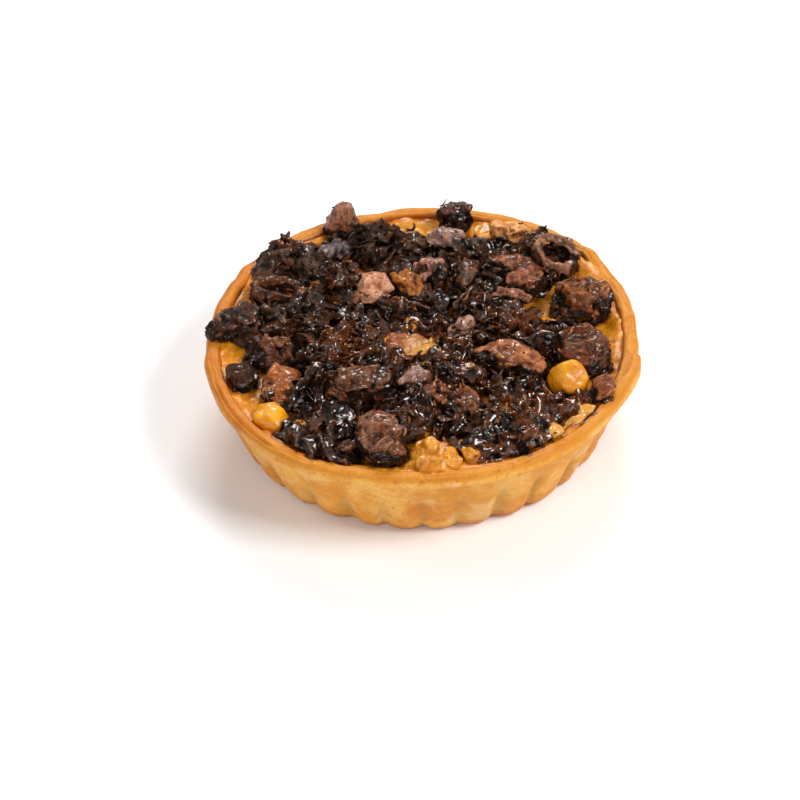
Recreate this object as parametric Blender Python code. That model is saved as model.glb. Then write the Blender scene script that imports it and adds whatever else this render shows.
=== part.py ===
"""An individual sausage quiche: a fluted pastry case filled with baked custard, and on it charred
sausage, lumps of yellow cheese and heaps of crisp onion shreds.

Metres, +Z up. The origin is the middle of the flat base.
"""

import math
from collections import namedtuple
from random import Random

import bmesh
import bpy
from mathutils import Matrix, Vector, noise
from mathutils.bvhtree import BVHTree

MM = 0.001

# Pastry case
RIM_RADIUS = 60.0 * MM
BASE_RADIUS = 50.8 * MM
CASE_HEIGHT = 26.6 * MM
WALL = 4.7 * MM
FLOOR = 4.0 * MM
FLUTES = 32
STEPS_PER_FLUTE = 3
FLUTE_DEPTH = 1.5 * MM
FLUTE_FADE_FROM = 13.0 * MM
FLUTE_FADE_TO = 22.0 * MM
LIP_HEIGHT = 4.2 * MM
LIP_PROUD = 0.9 * MM

# How the baked case is out of round
OVAL = 1.1 * MM
OVAL_TURN = math.radians(45)
CORNERS = 0.65 * MM
RIM_WAVE = 0.75 * MM
RIM_WANDER = 0.5 * MM
SPLIT_ANGLE = math.radians(-9)
SPLIT_LENGTH = math.radians(26)
SPLIT_STEP = 1.5 * MM
FLAKE_ANGLE = math.radians(37)
FLAKE_WIDTH = math.radians(3)
FLAKE_HEIGHT = 1.5 * MM

# Custard
CUSTARD_LEVEL = 23.2 * MM
CUSTARD_WAVE = 0.7 * MM
CUSTARD_STEPS = 30
MOUND = 1.8 * MM
MOUND_PLACE = Vector((46 * MM, 27 * MM))
MOUND_RADIUS = 8 * MM

GAP = 0.3 * MM
CLEAR = 0.7 * MM
HULL_ANGLE = math.radians(16)
MERGE = 0.001 * MM
SCRAP = 5 * MM ** 3
BED_GAP = 0.6 * MM
BED_STEPS = 48

# Onion heaps
SHRED_LENGTH = 9.5 * MM
SHRED_WIDTH = 4.2 * MM
SHRED_THICKNESS = 1.1 * MM
SHRED_BEND = 0.9
SHRED_LIFT = 0.7 * MM
REDRAWS = 4

# How far a piece or a heap may reach from its place, as a share of its size and in millimetres
PIECE_REACH = 0.75
SHRED_REACH = 5

# A piece of topping. Places and sizes are in millimetres and turns in degrees. lift is the height
# of its middle over the custard; length lies along X, width along Y and height along Z before it is
# rolled about X, pitched about Y and turned about Z.
Piece = namedtuple("Piece", "name shape x y lift length width height roll pitch turn")

SAUSAGE = (
    Piece("sausage_peak", "peak", -23.3, 47.6, 5.2, 11.0, 9.5, 15.0, 0, 4, 20),
    Piece("sausage_pink", "lump", -14.0, 17.5, 3.8, 12.0, 11.0, 9.0, -14, -6, 15),
    Piece("sausage_tan", "slab", -4.2, 20.5, 3.4, 7.5, 10.5, 4.5, -8, 24, 24),
    Piece("sausage_slab_back", "half_round", 6.8, 40.0, 4.6, 12.0, 7.5, 7.0, 8, 2, -7),
    Piece("sausage_lump_back", "lump", 3.0, 28.2, 3.4, 10.5, 10.0, 8.0, 0, 0, 30),
    Piece("sausage_sliver", "slab", 12.2, 23.0, 4.6, 4.0, 13.5, 8.0, 0, 14, -6),
    Piece("sausage_curl", "horseshoe", 25.4, 25.0, 4.0, 17.5, 17.0, 6.6, -10, 8, -8),
    Piece("sausage_strip", "slab", 24.2, 14.6, 4.6, 11.5, 3.6, 3.0, 0, 4, -10),
    Piece("sausage_hollow", "cup", 37.2, 31.2, 3.2, 12.5, 13.5, 9.0, 10, 8, 30),
    Piece("sausage_right", "coin", 43.6, 11.8, 4.4, 15.5, 13.5, 11.0, 10, 16, -20),
    Piece("sausage_barrel", "coin", 43.2, -10.6, 4.6, 17.5, 13.5, 12.0, 16, 18, -34),
    Piece("sausage_leaf", "leaf", 47.6, -24.6, 4.6, 9.5, 5.6, 1.7, 24, -14, 52),
    Piece("sausage_slab", "slab", 24.2, -12.2, 4.2, 20.0, 11.5, 6.0, -12, 6, -22),
    Piece("sausage_long", "half_round", -17.2, -23.8, 3.8, 19.5, 13.0, 9.5, -10, 2, 18),
    Piece("sausage_grey", "lump", -1.9, -21.4, 3.8, 11.5, 8.0, 7.5, -8, 4, 20),
    Piece("sausage_rough", "slab", 9.4, -29.8, 3.2, 18.0, 9.5, 6.5, 0, 6, -16),
    Piece("sausage_front", "coin", -10.6, -43.6, 4.0, 13.0, 20.0, 9.0, -16, 4, 14),
    Piece("sausage_amber", "slab", -37.4, -21.6, 2.2, 8.5, 12.5, 5.0, 4, 14, -12),
    Piece("sausage_left", "lump", -40.2, -8.2, 3.0, 13.5, 11.5, 7.0, -6, 0, 18),
    Piece("sausage_cube", "cube", -48.6, -18.6, 2.4, 7.5, 9.5, 6.5, -6, 6, -12),
    Piece("sausage_rim", "lump", -51.2, 1.4, 5.2, 17.0, 9.5, 7.0, 0, 8, 12),
    Piece("sausage_cup", "cup", -40.8, 15.6, 3.8, 15.5, 11.0, 7.0, -12, 6, -12),
    Piece("sausage_flat", "slab", -25.0, 35.0, 4.6, 10.0, 8.0, 3.2, -14, -6, 10),
    Piece("sausage_black", "lump", 10.4, 51.4, 5.6, 10.5, 8.0, 7.5, 0, 0, 0),
    Piece("sausage_crumbly", "lump", 25.6, 45.4, 2.6, 13.0, 8.0, 6.5, -8, 6, -20),
    Piece("sausage_middle", "lump", 10.6, 1.6, 3.0, 8.5, 7.0, 6.5, -8, 0, 10),
    Piece("sausage_grain", "lump", -6.6, -4.4, 2.2, 9.5, 8.5, 5.5, 0, 0, -20),
    Piece("sausage_small", "cube", -19.4, -48.0, 2.6, 6.0, 5.0, 5.0, -10, 0, 24),
)

CHEESE = (
    Piece("cheese_right", "lump", 39.0, -20.8, 3.6, 10.5, 10.0, 9.5, 0, 0, 10),
    Piece("cheese_left", "lump", -39.6, -34.2, 1.6, 11.0, 8.5, 5.5, -8, 10, -34),
    Piece("cheese_front_back", "cube", 1.4, -47.4, 2.6, 7.5, 6.5, 6.5, -8, 0, 8),
    Piece("cheese_front", "cube", 0.4, -52.4, 2.0, 6.0, 4.6, 5.5, 0, 0, -4),
    Piece("cheese_front_right", "cube", 7.0, -50.8, 1.6, 7.0, 6.0, 4.5, 0, 8, 20),
    Piece("cheese_back", "lump", 17.2, 48.4, 1.4, 9.5, 7.5, 5.0, 0, 0, 30),
)

# A heap of crisp onion: place, half-sizes of its core and turn, as above, and its count of shreds.
Heap = namedtuple("Heap", "x y half_length half_width height turn shreds")

ONION = (
    Heap(-38.0, 31.6, 12.0, 9.5, 8.6, 42, 4),
    Heap(-12.5, 40.5, 15.5, 8.8, 8.6, -6, 4),
    Heap(-26.0, 22.0, 9.5, 11.5, 8.0, 4, 3),
    Heap(-37.0, 4.0, 15.0, 9.8, 8.6, 10, 4),
    Heap(-19.0, -5.5, 15.0, 12.5, 8.2, -20, 4),
    Heap(-29.0, -20.5, 9.0, 12.0, 7.0, -8, 3),
    Heap(-26.5, -43.0, 14.5, 9.5, 7.8, -28, 3),
    Heap(20.5, -38.5, 18.0, 12.5, 8.8, 14, 5),
    Heap(40.0, -31.6, 11.5, 7.2, 6.4, 40, 3),
    Heap(15.5, 12.4, 12.5, 11.0, 7.8, 10, 4),
    Heap(27.0, -0.5, 13.5, 10.5, 7.8, -14, 4),
    Heap(-3.0, 9.0, 12.5, 10.0, 6.6, 6, 4),
    Heap(-3.5, -34.5, 11.5, 9.5, 6.8, -6, 4),
    Heap(31.4, 38.0, 11.5, 9.0, 7.2, -20, 3),
    Heap(5.5, -13.5, 15.5, 11.0, 7.0, -12, 4),
    Heap(13.6, 33.0, 10.0, 10.0, 7.0, 20, 3),
    Heap(-6.0, 28.5, 8.5, 7.0, 6.4, 20, 3),
    Heap(25.0, -25.5, 11.0, 6.4, 6.4, -15, 3),
)


def clamp(value):
    return min(1.0, max(0.0, value))


def smooth(value):
    value = clamp(value)
    return value * value * (3 - 2 * value)


def round_noise(angle, waves, seed):
    """Noise from -1 to 1 that closes on itself round the case."""
    return noise.noise(Vector((waves * math.cos(angle), waves * math.sin(angle), seed)))


def angle_between(a, b):
    return math.atan2(math.sin(a - b), math.cos(a - b))


# ---- The case and the custard share these forms ----

def out_of_round(angle):
    oval = OVAL * math.cos(2 * (angle - OVAL_TURN))
    return oval - CORNERS * math.cos(4 * angle) + RIM_WANDER * round_noise(angle, 1.6, 3.0)


def outer_radius(height):
    """The outside of the case, which swells a little towards its lip."""
    share = clamp(height / CASE_HEIGHT)
    return BASE_RADIUS + (RIM_RADIUS - LIP_PROUD - BASE_RADIUS) * (1 - (1 - share) ** 1.25)


def inner_radius(height):
    floor_radius = outer_radius(FLOOR) - WALL
    rim_radius = RIM_RADIUS - WALL
    share = (height - FLOOR) / (CASE_HEIGHT - FLOOR)
    return floor_radius + (rim_radius - floor_radius) * share


def flute(angle):
    """Broad lobes between narrow creases, from 0 on a lobe's crown to 1 in a crease."""
    return 1 - abs(math.sin(angle * FLUTES / 2)) ** 0.8


def case_profile():
    """Radius and height of each ring, from the base's edge over the lip to the floor inside."""
    below_lip = CASE_HEIGHT - LIP_HEIGHT
    outside = [(BASE_RADIUS - 1.7 * MM, 0.0), (BASE_RADIUS - 0.4 * MM, 0.8 * MM)]
    for height in (3.0 * MM, 12.0 * MM, below_lip):
        outside.append((outer_radius(height), height))
    lip = [
        (RIM_RADIUS, CASE_HEIGHT - 2.0 * MM),
        (RIM_RADIUS - 1.2 * MM, CASE_HEIGHT - 0.1 * MM),
        (RIM_RADIUS - 3.3 * MM, CASE_HEIGHT - 0.1 * MM),
        (RIM_RADIUS - WALL, CASE_HEIGHT - 1.7 * MM),
    ]
    return outside + lip + [(inner_radius(FLOOR), FLOOR)]


def shape_case_point(point):
    """Where a point of the plain turned case lies on the baked one."""
    radius = point.xy.length
    angle = math.atan2(point.y, point.x)
    height = point.z
    share = height / CASE_HEIGHT
    outside = radius > outer_radius(height) - WALL / 2
    fluted = 1 - smooth((height - FLUTE_FADE_FROM) / (FLUTE_FADE_TO - FLUTE_FADE_FROM))
    at_lip = smooth((height - CASE_HEIGHT + 2 * LIP_HEIGHT) / LIP_HEIGHT)
    lobe_depth = FLUTE_DEPTH * (1 + 0.3 * round_noise(angle, 4, 9.0))

    radius += out_of_round(angle) * (0.35 + 0.65 * share)
    if outside:
        radius -= lobe_depth * fluted * flute(angle)
        radius += 0.3 * MM * round_noise(angle, 9, 20 + height / (4 * MM))
        past = angle_between(SPLIT_ANGLE, angle)
        if past > 0:
            radius += SPLIT_STEP * at_lip * (1 - smooth(past / SPLIT_LENGTH))
    top = smooth((height - CASE_HEIGHT + LIP_HEIGHT) / LIP_HEIGHT)
    wave = RIM_WAVE * (0.7 * round_noise(angle, 2.2, 1.0) + 0.5 * round_noise(angle, 7, 2.0))
    flake = FLAKE_HEIGHT * math.exp(-(angle_between(angle, FLAKE_ANGLE) / FLAKE_WIDTH) ** 2)
    height += top * (wave + flake)
    return Vector((radius * math.cos(angle), radius * math.sin(angle), height))


def custard_top(x, y):
    """The custard's surface: gently uneven, with one puffed mound."""
    waves = noise.noise(Vector((x, y, 0)) / (12 * MM))
    away = (Vector((x, y)) - MOUND_PLACE).length / MOUND_RADIUS
    return CUSTARD_LEVEL + CUSTARD_WAVE * waves + MOUND * math.exp(-away * away)


# ---- Mesh helpers ----

def fill_holes(bm):
    open_edges = [edge for edge in bm.edges if edge.is_boundary]
    bmesh.ops.holes_fill(bm, edges=open_edges, sides=0)


def tidy(bm):
    """Merges doubled points and turns every face outwards."""
    bmesh.ops.remove_doubles(bm, verts=bm.verts, dist=MERGE)
    bmesh.ops.recalc_face_normals(bm, faces=bm.faces)
    if bm.calc_volume(signed=True) < 0:
        bmesh.ops.reverse_faces(bm, faces=bm.faces)


def keep_largest(bm):
    """Drops loose scraps, so that the body of most volume is left."""
    bm.faces.index_update()
    bm.normal_update()
    group = [-1] * len(bm.faces)
    volumes = []
    for start in bm.faces:
        if group[start.index] >= 0:
            continue
        group[start.index] = len(volumes)
        reached = [start]
        for face in reached:
            for edge in face.edges:
                for other in edge.link_faces:
                    if group[other.index] < 0:
                        group[other.index] = len(volumes)
                        reached.append(other)
        volumes.append(abs(sum(face.normal.dot(face.verts[0].co) * face.calc_area() for face in reached)))
    largest = volumes.index(max(volumes))
    scraps = [face for face in bm.faces if group[face.index] != largest]
    bmesh.ops.delete(bm, geom=scraps, context="FACES")


def slice_off(bm, point, normal):
    """Cuts away what lies beyond a plane and closes the cut."""
    geom = bm.verts[:] + bm.edges[:] + bm.faces[:]
    bmesh.ops.bisect_plane(bm, geom=geom, plane_co=point, plane_no=normal, clear_outer=True)
    fill_holes(bm)
    keep_largest(bm)
    tidy(bm)


def grow(bm, distance):
    """Moves the whole surface outwards by a distance."""
    bm.normal_update()
    moves = [vert.normal * (distance * min(vert.calc_shell_factor(), 2)) for vert in bm.verts]
    for vert, move in zip(bm.verts, moves):
        vert.co += move


def hull_round(mesh, distance):
    """The convex outline of a mesh, a little larger all round."""
    bm = bmesh.new()
    for vert in mesh.vertices:
        bm.verts.new(vert.co)
    hull = bmesh.ops.convex_hull(bm, input=bm.verts)
    inside = {vert for vert in hull["geom_interior"] + hull["geom_unused"] if isinstance(vert, bmesh.types.BMVert)}
    bmesh.ops.delete(bm, geom=list(inside), context="VERTS")
    tidy(bm)
    bmesh.ops.dissolve_limit(bm, angle_limit=HULL_ANGLE, verts=bm.verts, edges=bm.edges)
    grow(bm, distance)
    return bm


def new_object(name, bm, material, collection):
    mesh = bpy.data.meshes.new(name)
    bm.to_mesh(mesh)
    bm.free()
    mesh.shade_smooth()
    mesh.set_sharp_from_angle(angle=math.radians(40))
    if material:
        mesh.materials.append(material)
    obj = bpy.data.objects.new(name, mesh)
    collection.objects.link(obj)
    return obj


def new_cutter(name, bm, cutters):
    cutter = new_object(name, bm, None, cutters)
    cutter.hide_render = True
    cutter.display_type = "WIRE"
    return cutter


def rework(obj, change):
    """Runs a bmesh change on an object's mesh."""
    bm = bmesh.new()
    bm.from_mesh(obj.data)
    change(bm)
    bm.to_mesh(obj.data)
    bm.free()


def is_closed(mesh):
    """Whether a mesh is one or more closed bodies and not a scrap."""
    bm = bmesh.new()
    bm.from_mesh(mesh)
    closed = abs(bm.calc_volume(signed=True)) > SCRAP and all(edge.is_manifold for edge in bm.edges)
    bm.free()
    return closed


def apply_boolean(obj, boolean):
    """Applies a Boolean modifier, with the second solver where the first leaves a bad edge."""
    plain = obj.data
    for solver in ("EXACT", "MANIFOLD"):
        boolean.solver = solver
        depsgraph = bpy.context.evaluated_depsgraph_get()
        result = bpy.data.meshes.new_from_object(obj.evaluated_get(depsgraph))
        if is_closed(result):
            break
    obj.data = result
    obj.modifiers.clear()
    bpy.data.meshes.remove(plain)
    rework(obj, keep_largest)
    rework(obj, tidy)


def cut_away(obj, cutter):
    cut = obj.modifiers.new("cut", "BOOLEAN")
    cut.operation = "DIFFERENCE"
    cut.object = cutter
    apply_boolean(obj, cut)


def join_with(obj, pieces):
    """Joins a collection's pieces to an object and removes them."""
    join = obj.modifiers.new("join", "BOOLEAN")
    join.operation = "UNION"
    join.operand_type = "COLLECTION"
    join.collection = pieces
    apply_boolean(obj, join)
    for piece in list(pieces.objects):
        bpy.data.objects.remove(piece)


def plain_finish(name, colour, roughness):
    """A plain material for one kind of food."""
    material = bpy.data.materials.new(name)
    material.use_nodes = True
    shader = material.node_tree.nodes["Principled BSDF"]
    shader.inputs["Base Color"].default_value = (*colour, 1)
    shader.inputs["Roughness"].default_value = roughness
    shader.inputs["Metallic"].default_value = 0
    material.diffuse_color = (*colour, 1)
    return material


# ---- Case and custard ----

def turned(profile, steps):
    """A closed body turned from a profile that starts and ends on flat discs."""
    bm = bmesh.new()
    verts = [bm.verts.new((radius, 0, height)) for radius, height in profile]
    edges = [bm.edges.new(pair) for pair in zip(verts, verts[1:])]
    bmesh.ops.spin(
        bm,
        geom=verts + edges,
        cent=(0, 0, 0),
        axis=(0, 0, 1),
        angle=math.tau,
        steps=steps,
        use_merge=True,
    )
    fill_holes(bm)
    tidy(bm)
    return bm


def case_mesh(steps=FLUTES * STEPS_PER_FLUTE):
    bm = turned(case_profile(), steps)
    for vert in bm.verts:
        vert.co = shape_case_point(vert.co)
    return bm


def custard_mesh():
    base = FLOOR + GAP
    edge_radius = inner_radius(CUSTARD_LEVEL) - 1.3 * GAP
    profile = [(inner_radius(base) - 1.3 * GAP, base), (edge_radius, CUSTARD_LEVEL)]
    for share in (0.82, 0.56, 0.28):
        profile.append((edge_radius * share, CUSTARD_LEVEL))
    bm = turned(profile, CUSTARD_STEPS)
    for vert in bm.verts:
        angle = math.atan2(vert.co.y, vert.co.x)
        radius = vert.co.xy.length
        share = vert.co.z / CASE_HEIGHT
        radius += out_of_round(angle) * (0.35 + 0.65 * share) * radius / edge_radius
        vert.co.x = radius * math.cos(angle)
        vert.co.y = radius * math.sin(angle)
        if vert.co.z > FLOOR + WALL:
            vert.co.z = custard_top(vert.co.x, vert.co.y)
    return bm


# ---- Shapes of topping, each about the origin and 1 mm to the unit ----

def roughen(bm, amount, scale, seed):
    """Pushes points in and out by noise."""
    bm.normal_update()
    offset = Vector((seed * 7.3, seed * 3.1, seed * 5.7))
    moves = [vert.normal * (amount * noise.noise(vert.co / scale + offset)) for vert in bm.verts]
    for vert, move in zip(bm.verts, moves):
        vert.co += move


def ball(squareness):
    """A ball drawn towards a box by its squareness, 2 being round."""
    bm = bmesh.new()
    bmesh.ops.create_icosphere(bm, subdivisions=2, radius=1)
    for vert in bm.verts:
        total = sum(abs(part) ** squareness for part in vert.co)
        vert.co *= 0.5 / total ** (1 / squareness)
    return bm


def make_lump(size, seed):
    bm = ball(2.7)
    bmesh.ops.scale(bm, vec=size, verts=bm.verts)
    roughen(bm, 0.26 * min(size), 0.45 * min(size), seed)
    return bm


def make_cube(size, seed):
    bm = ball(5)
    bmesh.ops.scale(bm, vec=size, verts=bm.verts)
    roughen(bm, 0.14 * min(size), 0.5 * min(size), seed)
    return bm


def make_peak(size, seed):
    """A lump drawn up to a blunt point."""
    bm = ball(2.4)
    for vert in bm.verts:
        taper = 1.1 - 0.4 * smooth(vert.co.z + 0.5)
        vert.co.x *= taper
        vert.co.y *= taper
    bmesh.ops.scale(bm, vec=size, verts=bm.verts)
    roughen(bm, 0.16 * min(size), 0.5 * min(size), seed)
    return bm


def make_slab(size, seed):
    """A thick slice with worn edges, bowed along its length."""
    bm = bmesh.new()
    bmesh.ops.create_cube(bm, size=1)
    bmesh.ops.subdivide_edges(bm, edges=bm.edges, cuts=2, use_grid_fill=True)
    for vert in bm.verts:
        corner = sum(abs(part) ** 4 for part in vert.co)
        vert.co *= 0.53 / max(corner ** 0.25, 0.5)
        vert.co.z += 0.12 * math.cos(2.4 * vert.co.x)
    bmesh.ops.scale(bm, vec=size, verts=bm.verts)
    roughen(bm, 0.24 * min(size), 0.6 * min(size), seed)
    return bm


def disc_stack(rings, sides=11):
    """A turned solid from shares of radius and height, closed by flat ends."""
    return turned([(0.5 * radius, 0.5 * height) for radius, height in rings], sides)


def make_coin(size, seed):
    """A short cut of sausage: skin round the side and a cut face that has sunk a little."""
    rings = [(0.84, -1), (1, -0.5), (1, 0.45), (0.93, 0.9), (0.76, 0.98), (0.62, 0.72)]
    bm = disc_stack(rings)
    bmesh.ops.scale(bm, vec=size, verts=bm.verts)
    roughen(bm, 0.16 * min(size), 0.55 * min(size), seed)
    return bm


def make_cup(size, seed):
    """A charred slice whose middle has shrunk away, leaving a ragged cup."""
    rings = [(0.7, -1), (0.98, -0.4), (1.04, 0.5), (0.98, 1), (0.72, 0.85), (0.55, -0.1)]
    bm = disc_stack(rings)
    bmesh.ops.scale(bm, vec=size, verts=bm.verts)
    roughen(bm, 0.3 * min(size), 0.5 * min(size), seed)
    return bm


def make_half_round(size, seed):
    """A length of sausage split down its middle, lying on the cut."""
    bm = ball(2.9)
    for vert in bm.verts:
        vert.co.x *= 1 - 0.15 * (vert.co.y * 2) ** 2
        vert.co.z += 0.1 * (0.25 - vert.co.x * vert.co.x)
    bmesh.ops.scale(bm, vec=size, verts=bm.verts)
    slice_off(bm, Vector((0, 0, -0.32 * size.z)), Vector((0, 0, -1)))
    roughen(bm, 0.16 * min(size), 0.5 * min(size), seed)
    return bm


def make_leaf(size, seed):
    """A thin curved flake with two pointed ends."""
    bm = bmesh.new()
    bmesh.ops.create_cube(bm, size=1)
    along = [edge for edge in bm.edges if abs(edge.verts[0].co.x - edge.verts[1].co.x) > 0.5]
    bmesh.ops.subdivide_edges(bm, edges=along, cuts=3)
    for vert in bm.verts:
        spread = 1 - 0.75 * (2 * abs(vert.co.x)) ** 2
        vert.co.y = vert.co.y * spread + 0.12 * math.sin(math.pi * vert.co.x)
        vert.co.z += 1.1 * (0.25 - vert.co.x * vert.co.x) + 1.2 * vert.co.y * vert.co.y
    bmesh.ops.scale(bm, vec=size, verts=bm.verts)
    roughen(bm, 0.1 * min(size), min(size), seed)
    return bm


def make_horseshoe(size, seed):
    """A slice that has curled into an open ring."""
    sections = 9
    bar_radius = 0.21
    bm = bmesh.new()
    bmesh.ops.create_cone(
        bm, cap_ends=True, cap_tris=False, segments=8, radius1=0.5, radius2=0.5, depth=1
    )
    along = [edge for edge in bm.edges if abs(edge.verts[0].co.z - edge.verts[1].co.z) > 0.5]
    bmesh.ops.subdivide_edges(bm, edges=along, cuts=sections - 2)
    for vert in bm.verts:
        share = vert.co.z + 0.5
        turn = math.radians(150 - 250 * share)
        thick = bar_radius * (0.65 + 0.7 * math.sin(math.pi * (0.15 + 0.75 * share)))
        reach = 0.5 - bar_radius + 2 * vert.co.x * thick
        height = vert.co.y * (0.75 + 0.5 * math.sin(math.pi * share))
        vert.co = (reach * math.cos(turn), reach * math.sin(turn), height)
    bmesh.ops.scale(bm, vec=size, verts=bm.verts)
    bmesh.ops.recalc_face_normals(bm, faces=bm.faces)
    roughen(bm, 0.1 * min(size), 0.6 * min(size), seed)
    return bm


MAKERS = {
    "lump": make_lump,
    "cube": make_cube,
    "peak": make_peak,
    "slab": make_slab,
    "coin": make_coin,
    "cup": make_cup,
    "half_round": make_half_round,
    "leaf": make_leaf,
    "horseshoe": make_horseshoe,
}


def piece_mesh(piece, seed):
    size = Vector((piece.length, piece.width, piece.height))
    bm = MAKERS[piece.shape](size, seed)
    level = custard_top(piece.x * MM, piece.y * MM)
    turn = Matrix.Rotation(math.radians(piece.turn), 4, "Z")
    pitch = Matrix.Rotation(math.radians(piece.pitch), 4, "Y")
    roll = Matrix.Rotation(math.radians(piece.roll), 4, "X")
    place = Matrix.Translation((piece.x * MM, piece.y * MM, level + piece.lift * MM))
    bm.transform(place @ turn @ pitch @ roll @ Matrix.Scale(MM, 4))
    tidy(bm)
    return bm


# ---- Heaps ----

def heap_core(heap, seed):
    bm = ball(2.8)
    size = Vector((2 * heap.half_length, 2 * heap.half_width, 1.5 * heap.height)) * MM
    bmesh.ops.scale(bm, vec=size, verts=bm.verts)
    roughen(bm, 1.7 * MM, 3.2 * MM, seed)
    return bm


def shred_mesh(draw):
    """One stiff curl of onion: a narrow strip, bent along its length and twisted."""
    bm = bmesh.new()
    bmesh.ops.create_cube(bm, size=1)
    along = [edge for edge in bm.edges if abs(edge.verts[0].co.x - edge.verts[1].co.x) > 0.5]
    bmesh.ops.subdivide_edges(bm, edges=along, cuts=1)
    length = SHRED_LENGTH * draw.uniform(0.75, 1.2)
    width = SHRED_WIDTH * draw.uniform(0.75, 1.2)
    twist = draw.uniform(-1.2, 1.2)
    for vert in bm.verts:
        share = 2 * vert.co.x
        across = Vector((0, vert.co.y * width * (1 - 0.35 * share * share), vert.co.z * SHRED_THICKNESS))
        across.rotate(Matrix.Rotation(twist * share, 3, "X"))
        bow = SHRED_BEND * share
        spine = Vector((math.sin(bow), 0, math.cos(bow) - 1)) * (length / (2 * SHRED_BEND))
        vert.co = spine + across
    bmesh.ops.recalc_face_normals(bm, faces=bm.faces)
    return bm


def heap_shred(heap, core, number, draw):
    """A shred half sunk in the upper side of a heap's core."""
    turn = math.tau * number * 0.618
    tilt = math.radians(12 + 62 * ((number + 0.5) / heap.shreds) ** 0.7)
    outwards = Vector((math.cos(turn) * math.sin(tilt), math.sin(turn) * math.sin(tilt), math.cos(tilt)))
    tree = BVHTree.FromBMesh(core)
    hit = tree.ray_cast(Vector((0, 0, 0)), outwards)[0]
    bm = shred_mesh(draw)
    lean = Vector((0, 0, 1)).rotation_difference(outwards).to_matrix().to_4x4()
    spin = Matrix.Rotation(draw.uniform(0, math.tau), 4, "Z")
    tip = Matrix.Rotation(draw.uniform(-0.5, 0.5), 4, "Y") @ Matrix.Rotation(draw.uniform(-0.6, 0.6), 4, "X")
    bm.transform(Matrix.Translation(hit + outwards * SHRED_LIFT) @ lean @ spin @ tip)
    return bm


def build_heap(name, heap, seed, material, parts, loose):
    """Joins shreds to a core, and draws them again where the joined surface does not close."""
    turn = Matrix.Rotation(math.radians(heap.turn), 4, "Z")
    level = custard_top(heap.x * MM, heap.y * MM)
    place = Matrix.Translation((heap.x * MM, heap.y * MM, level)) @ turn
    for attempt in range(REDRAWS):
        draw = Random(seed + attempt * 1000)
        core = heap_core(heap, seed)
        for number in range(heap.shreds):
            bm = heap_shred(heap, core, number, draw)
            bm.transform(place)
            new_object(f"{name}_shred_{number}", bm, None, loose)
        core.transform(place)
        obj = new_object(name, core, material, parts)
        join_with(obj, loose)
        if is_closed(obj.data):
            break
        bpy.data.objects.remove(obj)
    return obj


# ---- Fitting the pieces to each other ----

def meshes_meet(a, b):
    trees = []
    for obj in (a, b):
        bm = bmesh.new()
        bm.from_mesh(obj.data)
        grow(bm, GAP)
        trees.append(BVHTree.FromBMesh(bm))
        bm.free()
    return bool(trees[0].overlap(trees[1]))


def part_by_plane(a, b):
    """Cuts two pieces that meet back from one plane between them."""
    middles = [sum((v.co for v in obj.data.vertices), Vector()) / len(obj.data.vertices) for obj in (a, b)]
    normal = (middles[1] - middles[0]).normalized()
    reach_a = max(normal.dot(vert.co) for vert in a.data.vertices)
    reach_b = min(normal.dot(vert.co) for vert in b.data.vertices)
    plane = (reach_a + reach_b) / 2
    rework(a, lambda bm: slice_off(bm, normal * (plane - GAP / 2), normal))
    rework(b, lambda bm: slice_off(bm, normal * (plane + GAP / 2), -normal))


def part_all(objects):
    for index, first in enumerate(objects):
        for second in objects[index + 1:]:
            near = (Vector(first["middle"]) - Vector(second["middle"])).length
            if near < first["reach"] + second["reach"] and meshes_meet(first, second):
                part_by_plane(first, second)


def note_place(obj, x, y, reach):
    obj["middle"] = (x * MM, y * MM)
    obj["reach"] = reach * MM


def clear_places(objects):
    for obj in objects:
        del obj["middle"]
        del obj["reach"]


def build():
    for obj in list(bpy.data.objects):
        bpy.data.objects.remove(obj)
    parts = bpy.data.collections.new("sausage_quiche")
    cutters = bpy.data.collections.new("cutters")
    loose = bpy.data.collections.new("loose_shreds")
    for collection in (parts, cutters, loose):
        bpy.context.scene.collection.children.link(collection)

    crust = plain_finish("crust", (0.74, 0.42, 0.15), 0.55)
    egg = plain_finish("custard", (0.72, 0.36, 0.08), 0.35)
    cheese = plain_finish("cheese", (0.86, 0.52, 0.06), 0.3)
    meat = plain_finish("sausage", (0.16, 0.07, 0.035), 0.45)
    burnt = plain_finish("burnt_onion", (0.02, 0.014, 0.011), 0.35)

    new_object("pastry_case", case_mesh(), crust, parts)
    new_object("custard", custard_mesh(), egg, parts)
    beds = []
    for name, bm in (("custard_cutter", custard_mesh()), ("case_cutter", case_mesh(BED_STEPS))):
        grow(bm, BED_GAP)
        beds.append(new_cutter(name, bm, cutters))

    chunks = []
    for seed, piece in enumerate(SAUSAGE + CHEESE, 1):
        material = meat if piece in SAUSAGE else cheese
        obj = new_object(piece.name, piece_mesh(piece, seed), material, parts)
        note_place(obj, piece.x, piece.y, PIECE_REACH * max(piece.length, piece.width))
        chunks.append(obj)
    part_all(chunks)

    heaps = []
    for number, heap in enumerate(ONION, 1):
        obj = build_heap(f"onion_heap_{number:02d}", heap, 100 + number, burnt, parts, loose)
        note_place(obj, heap.x, heap.y, heap.half_length + SHRED_REACH)
        heaps.append(obj)
    bpy.data.collections.remove(loose)
    part_all(heaps)

    for chunk in chunks:
        cutter = new_cutter(f"{chunk.name}_cutter", hull_round(chunk.data, CLEAR), cutters)
        for heap in heaps:
            near = (Vector(heap["middle"]) - Vector(chunk["middle"])).length
            if near < heap["reach"] + chunk["reach"] and meshes_meet(heap, chunk):
                cut_away(heap, cutter)
    for obj in chunks + heaps:
        for bed in beds:
            cut_away(obj, bed)
    clear_places(chunks + heaps)


build()
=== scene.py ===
import math
import random

import bmesh
import bpy
import numpy as np
from mathutils import Matrix, Vector, kdtree, noise


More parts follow.
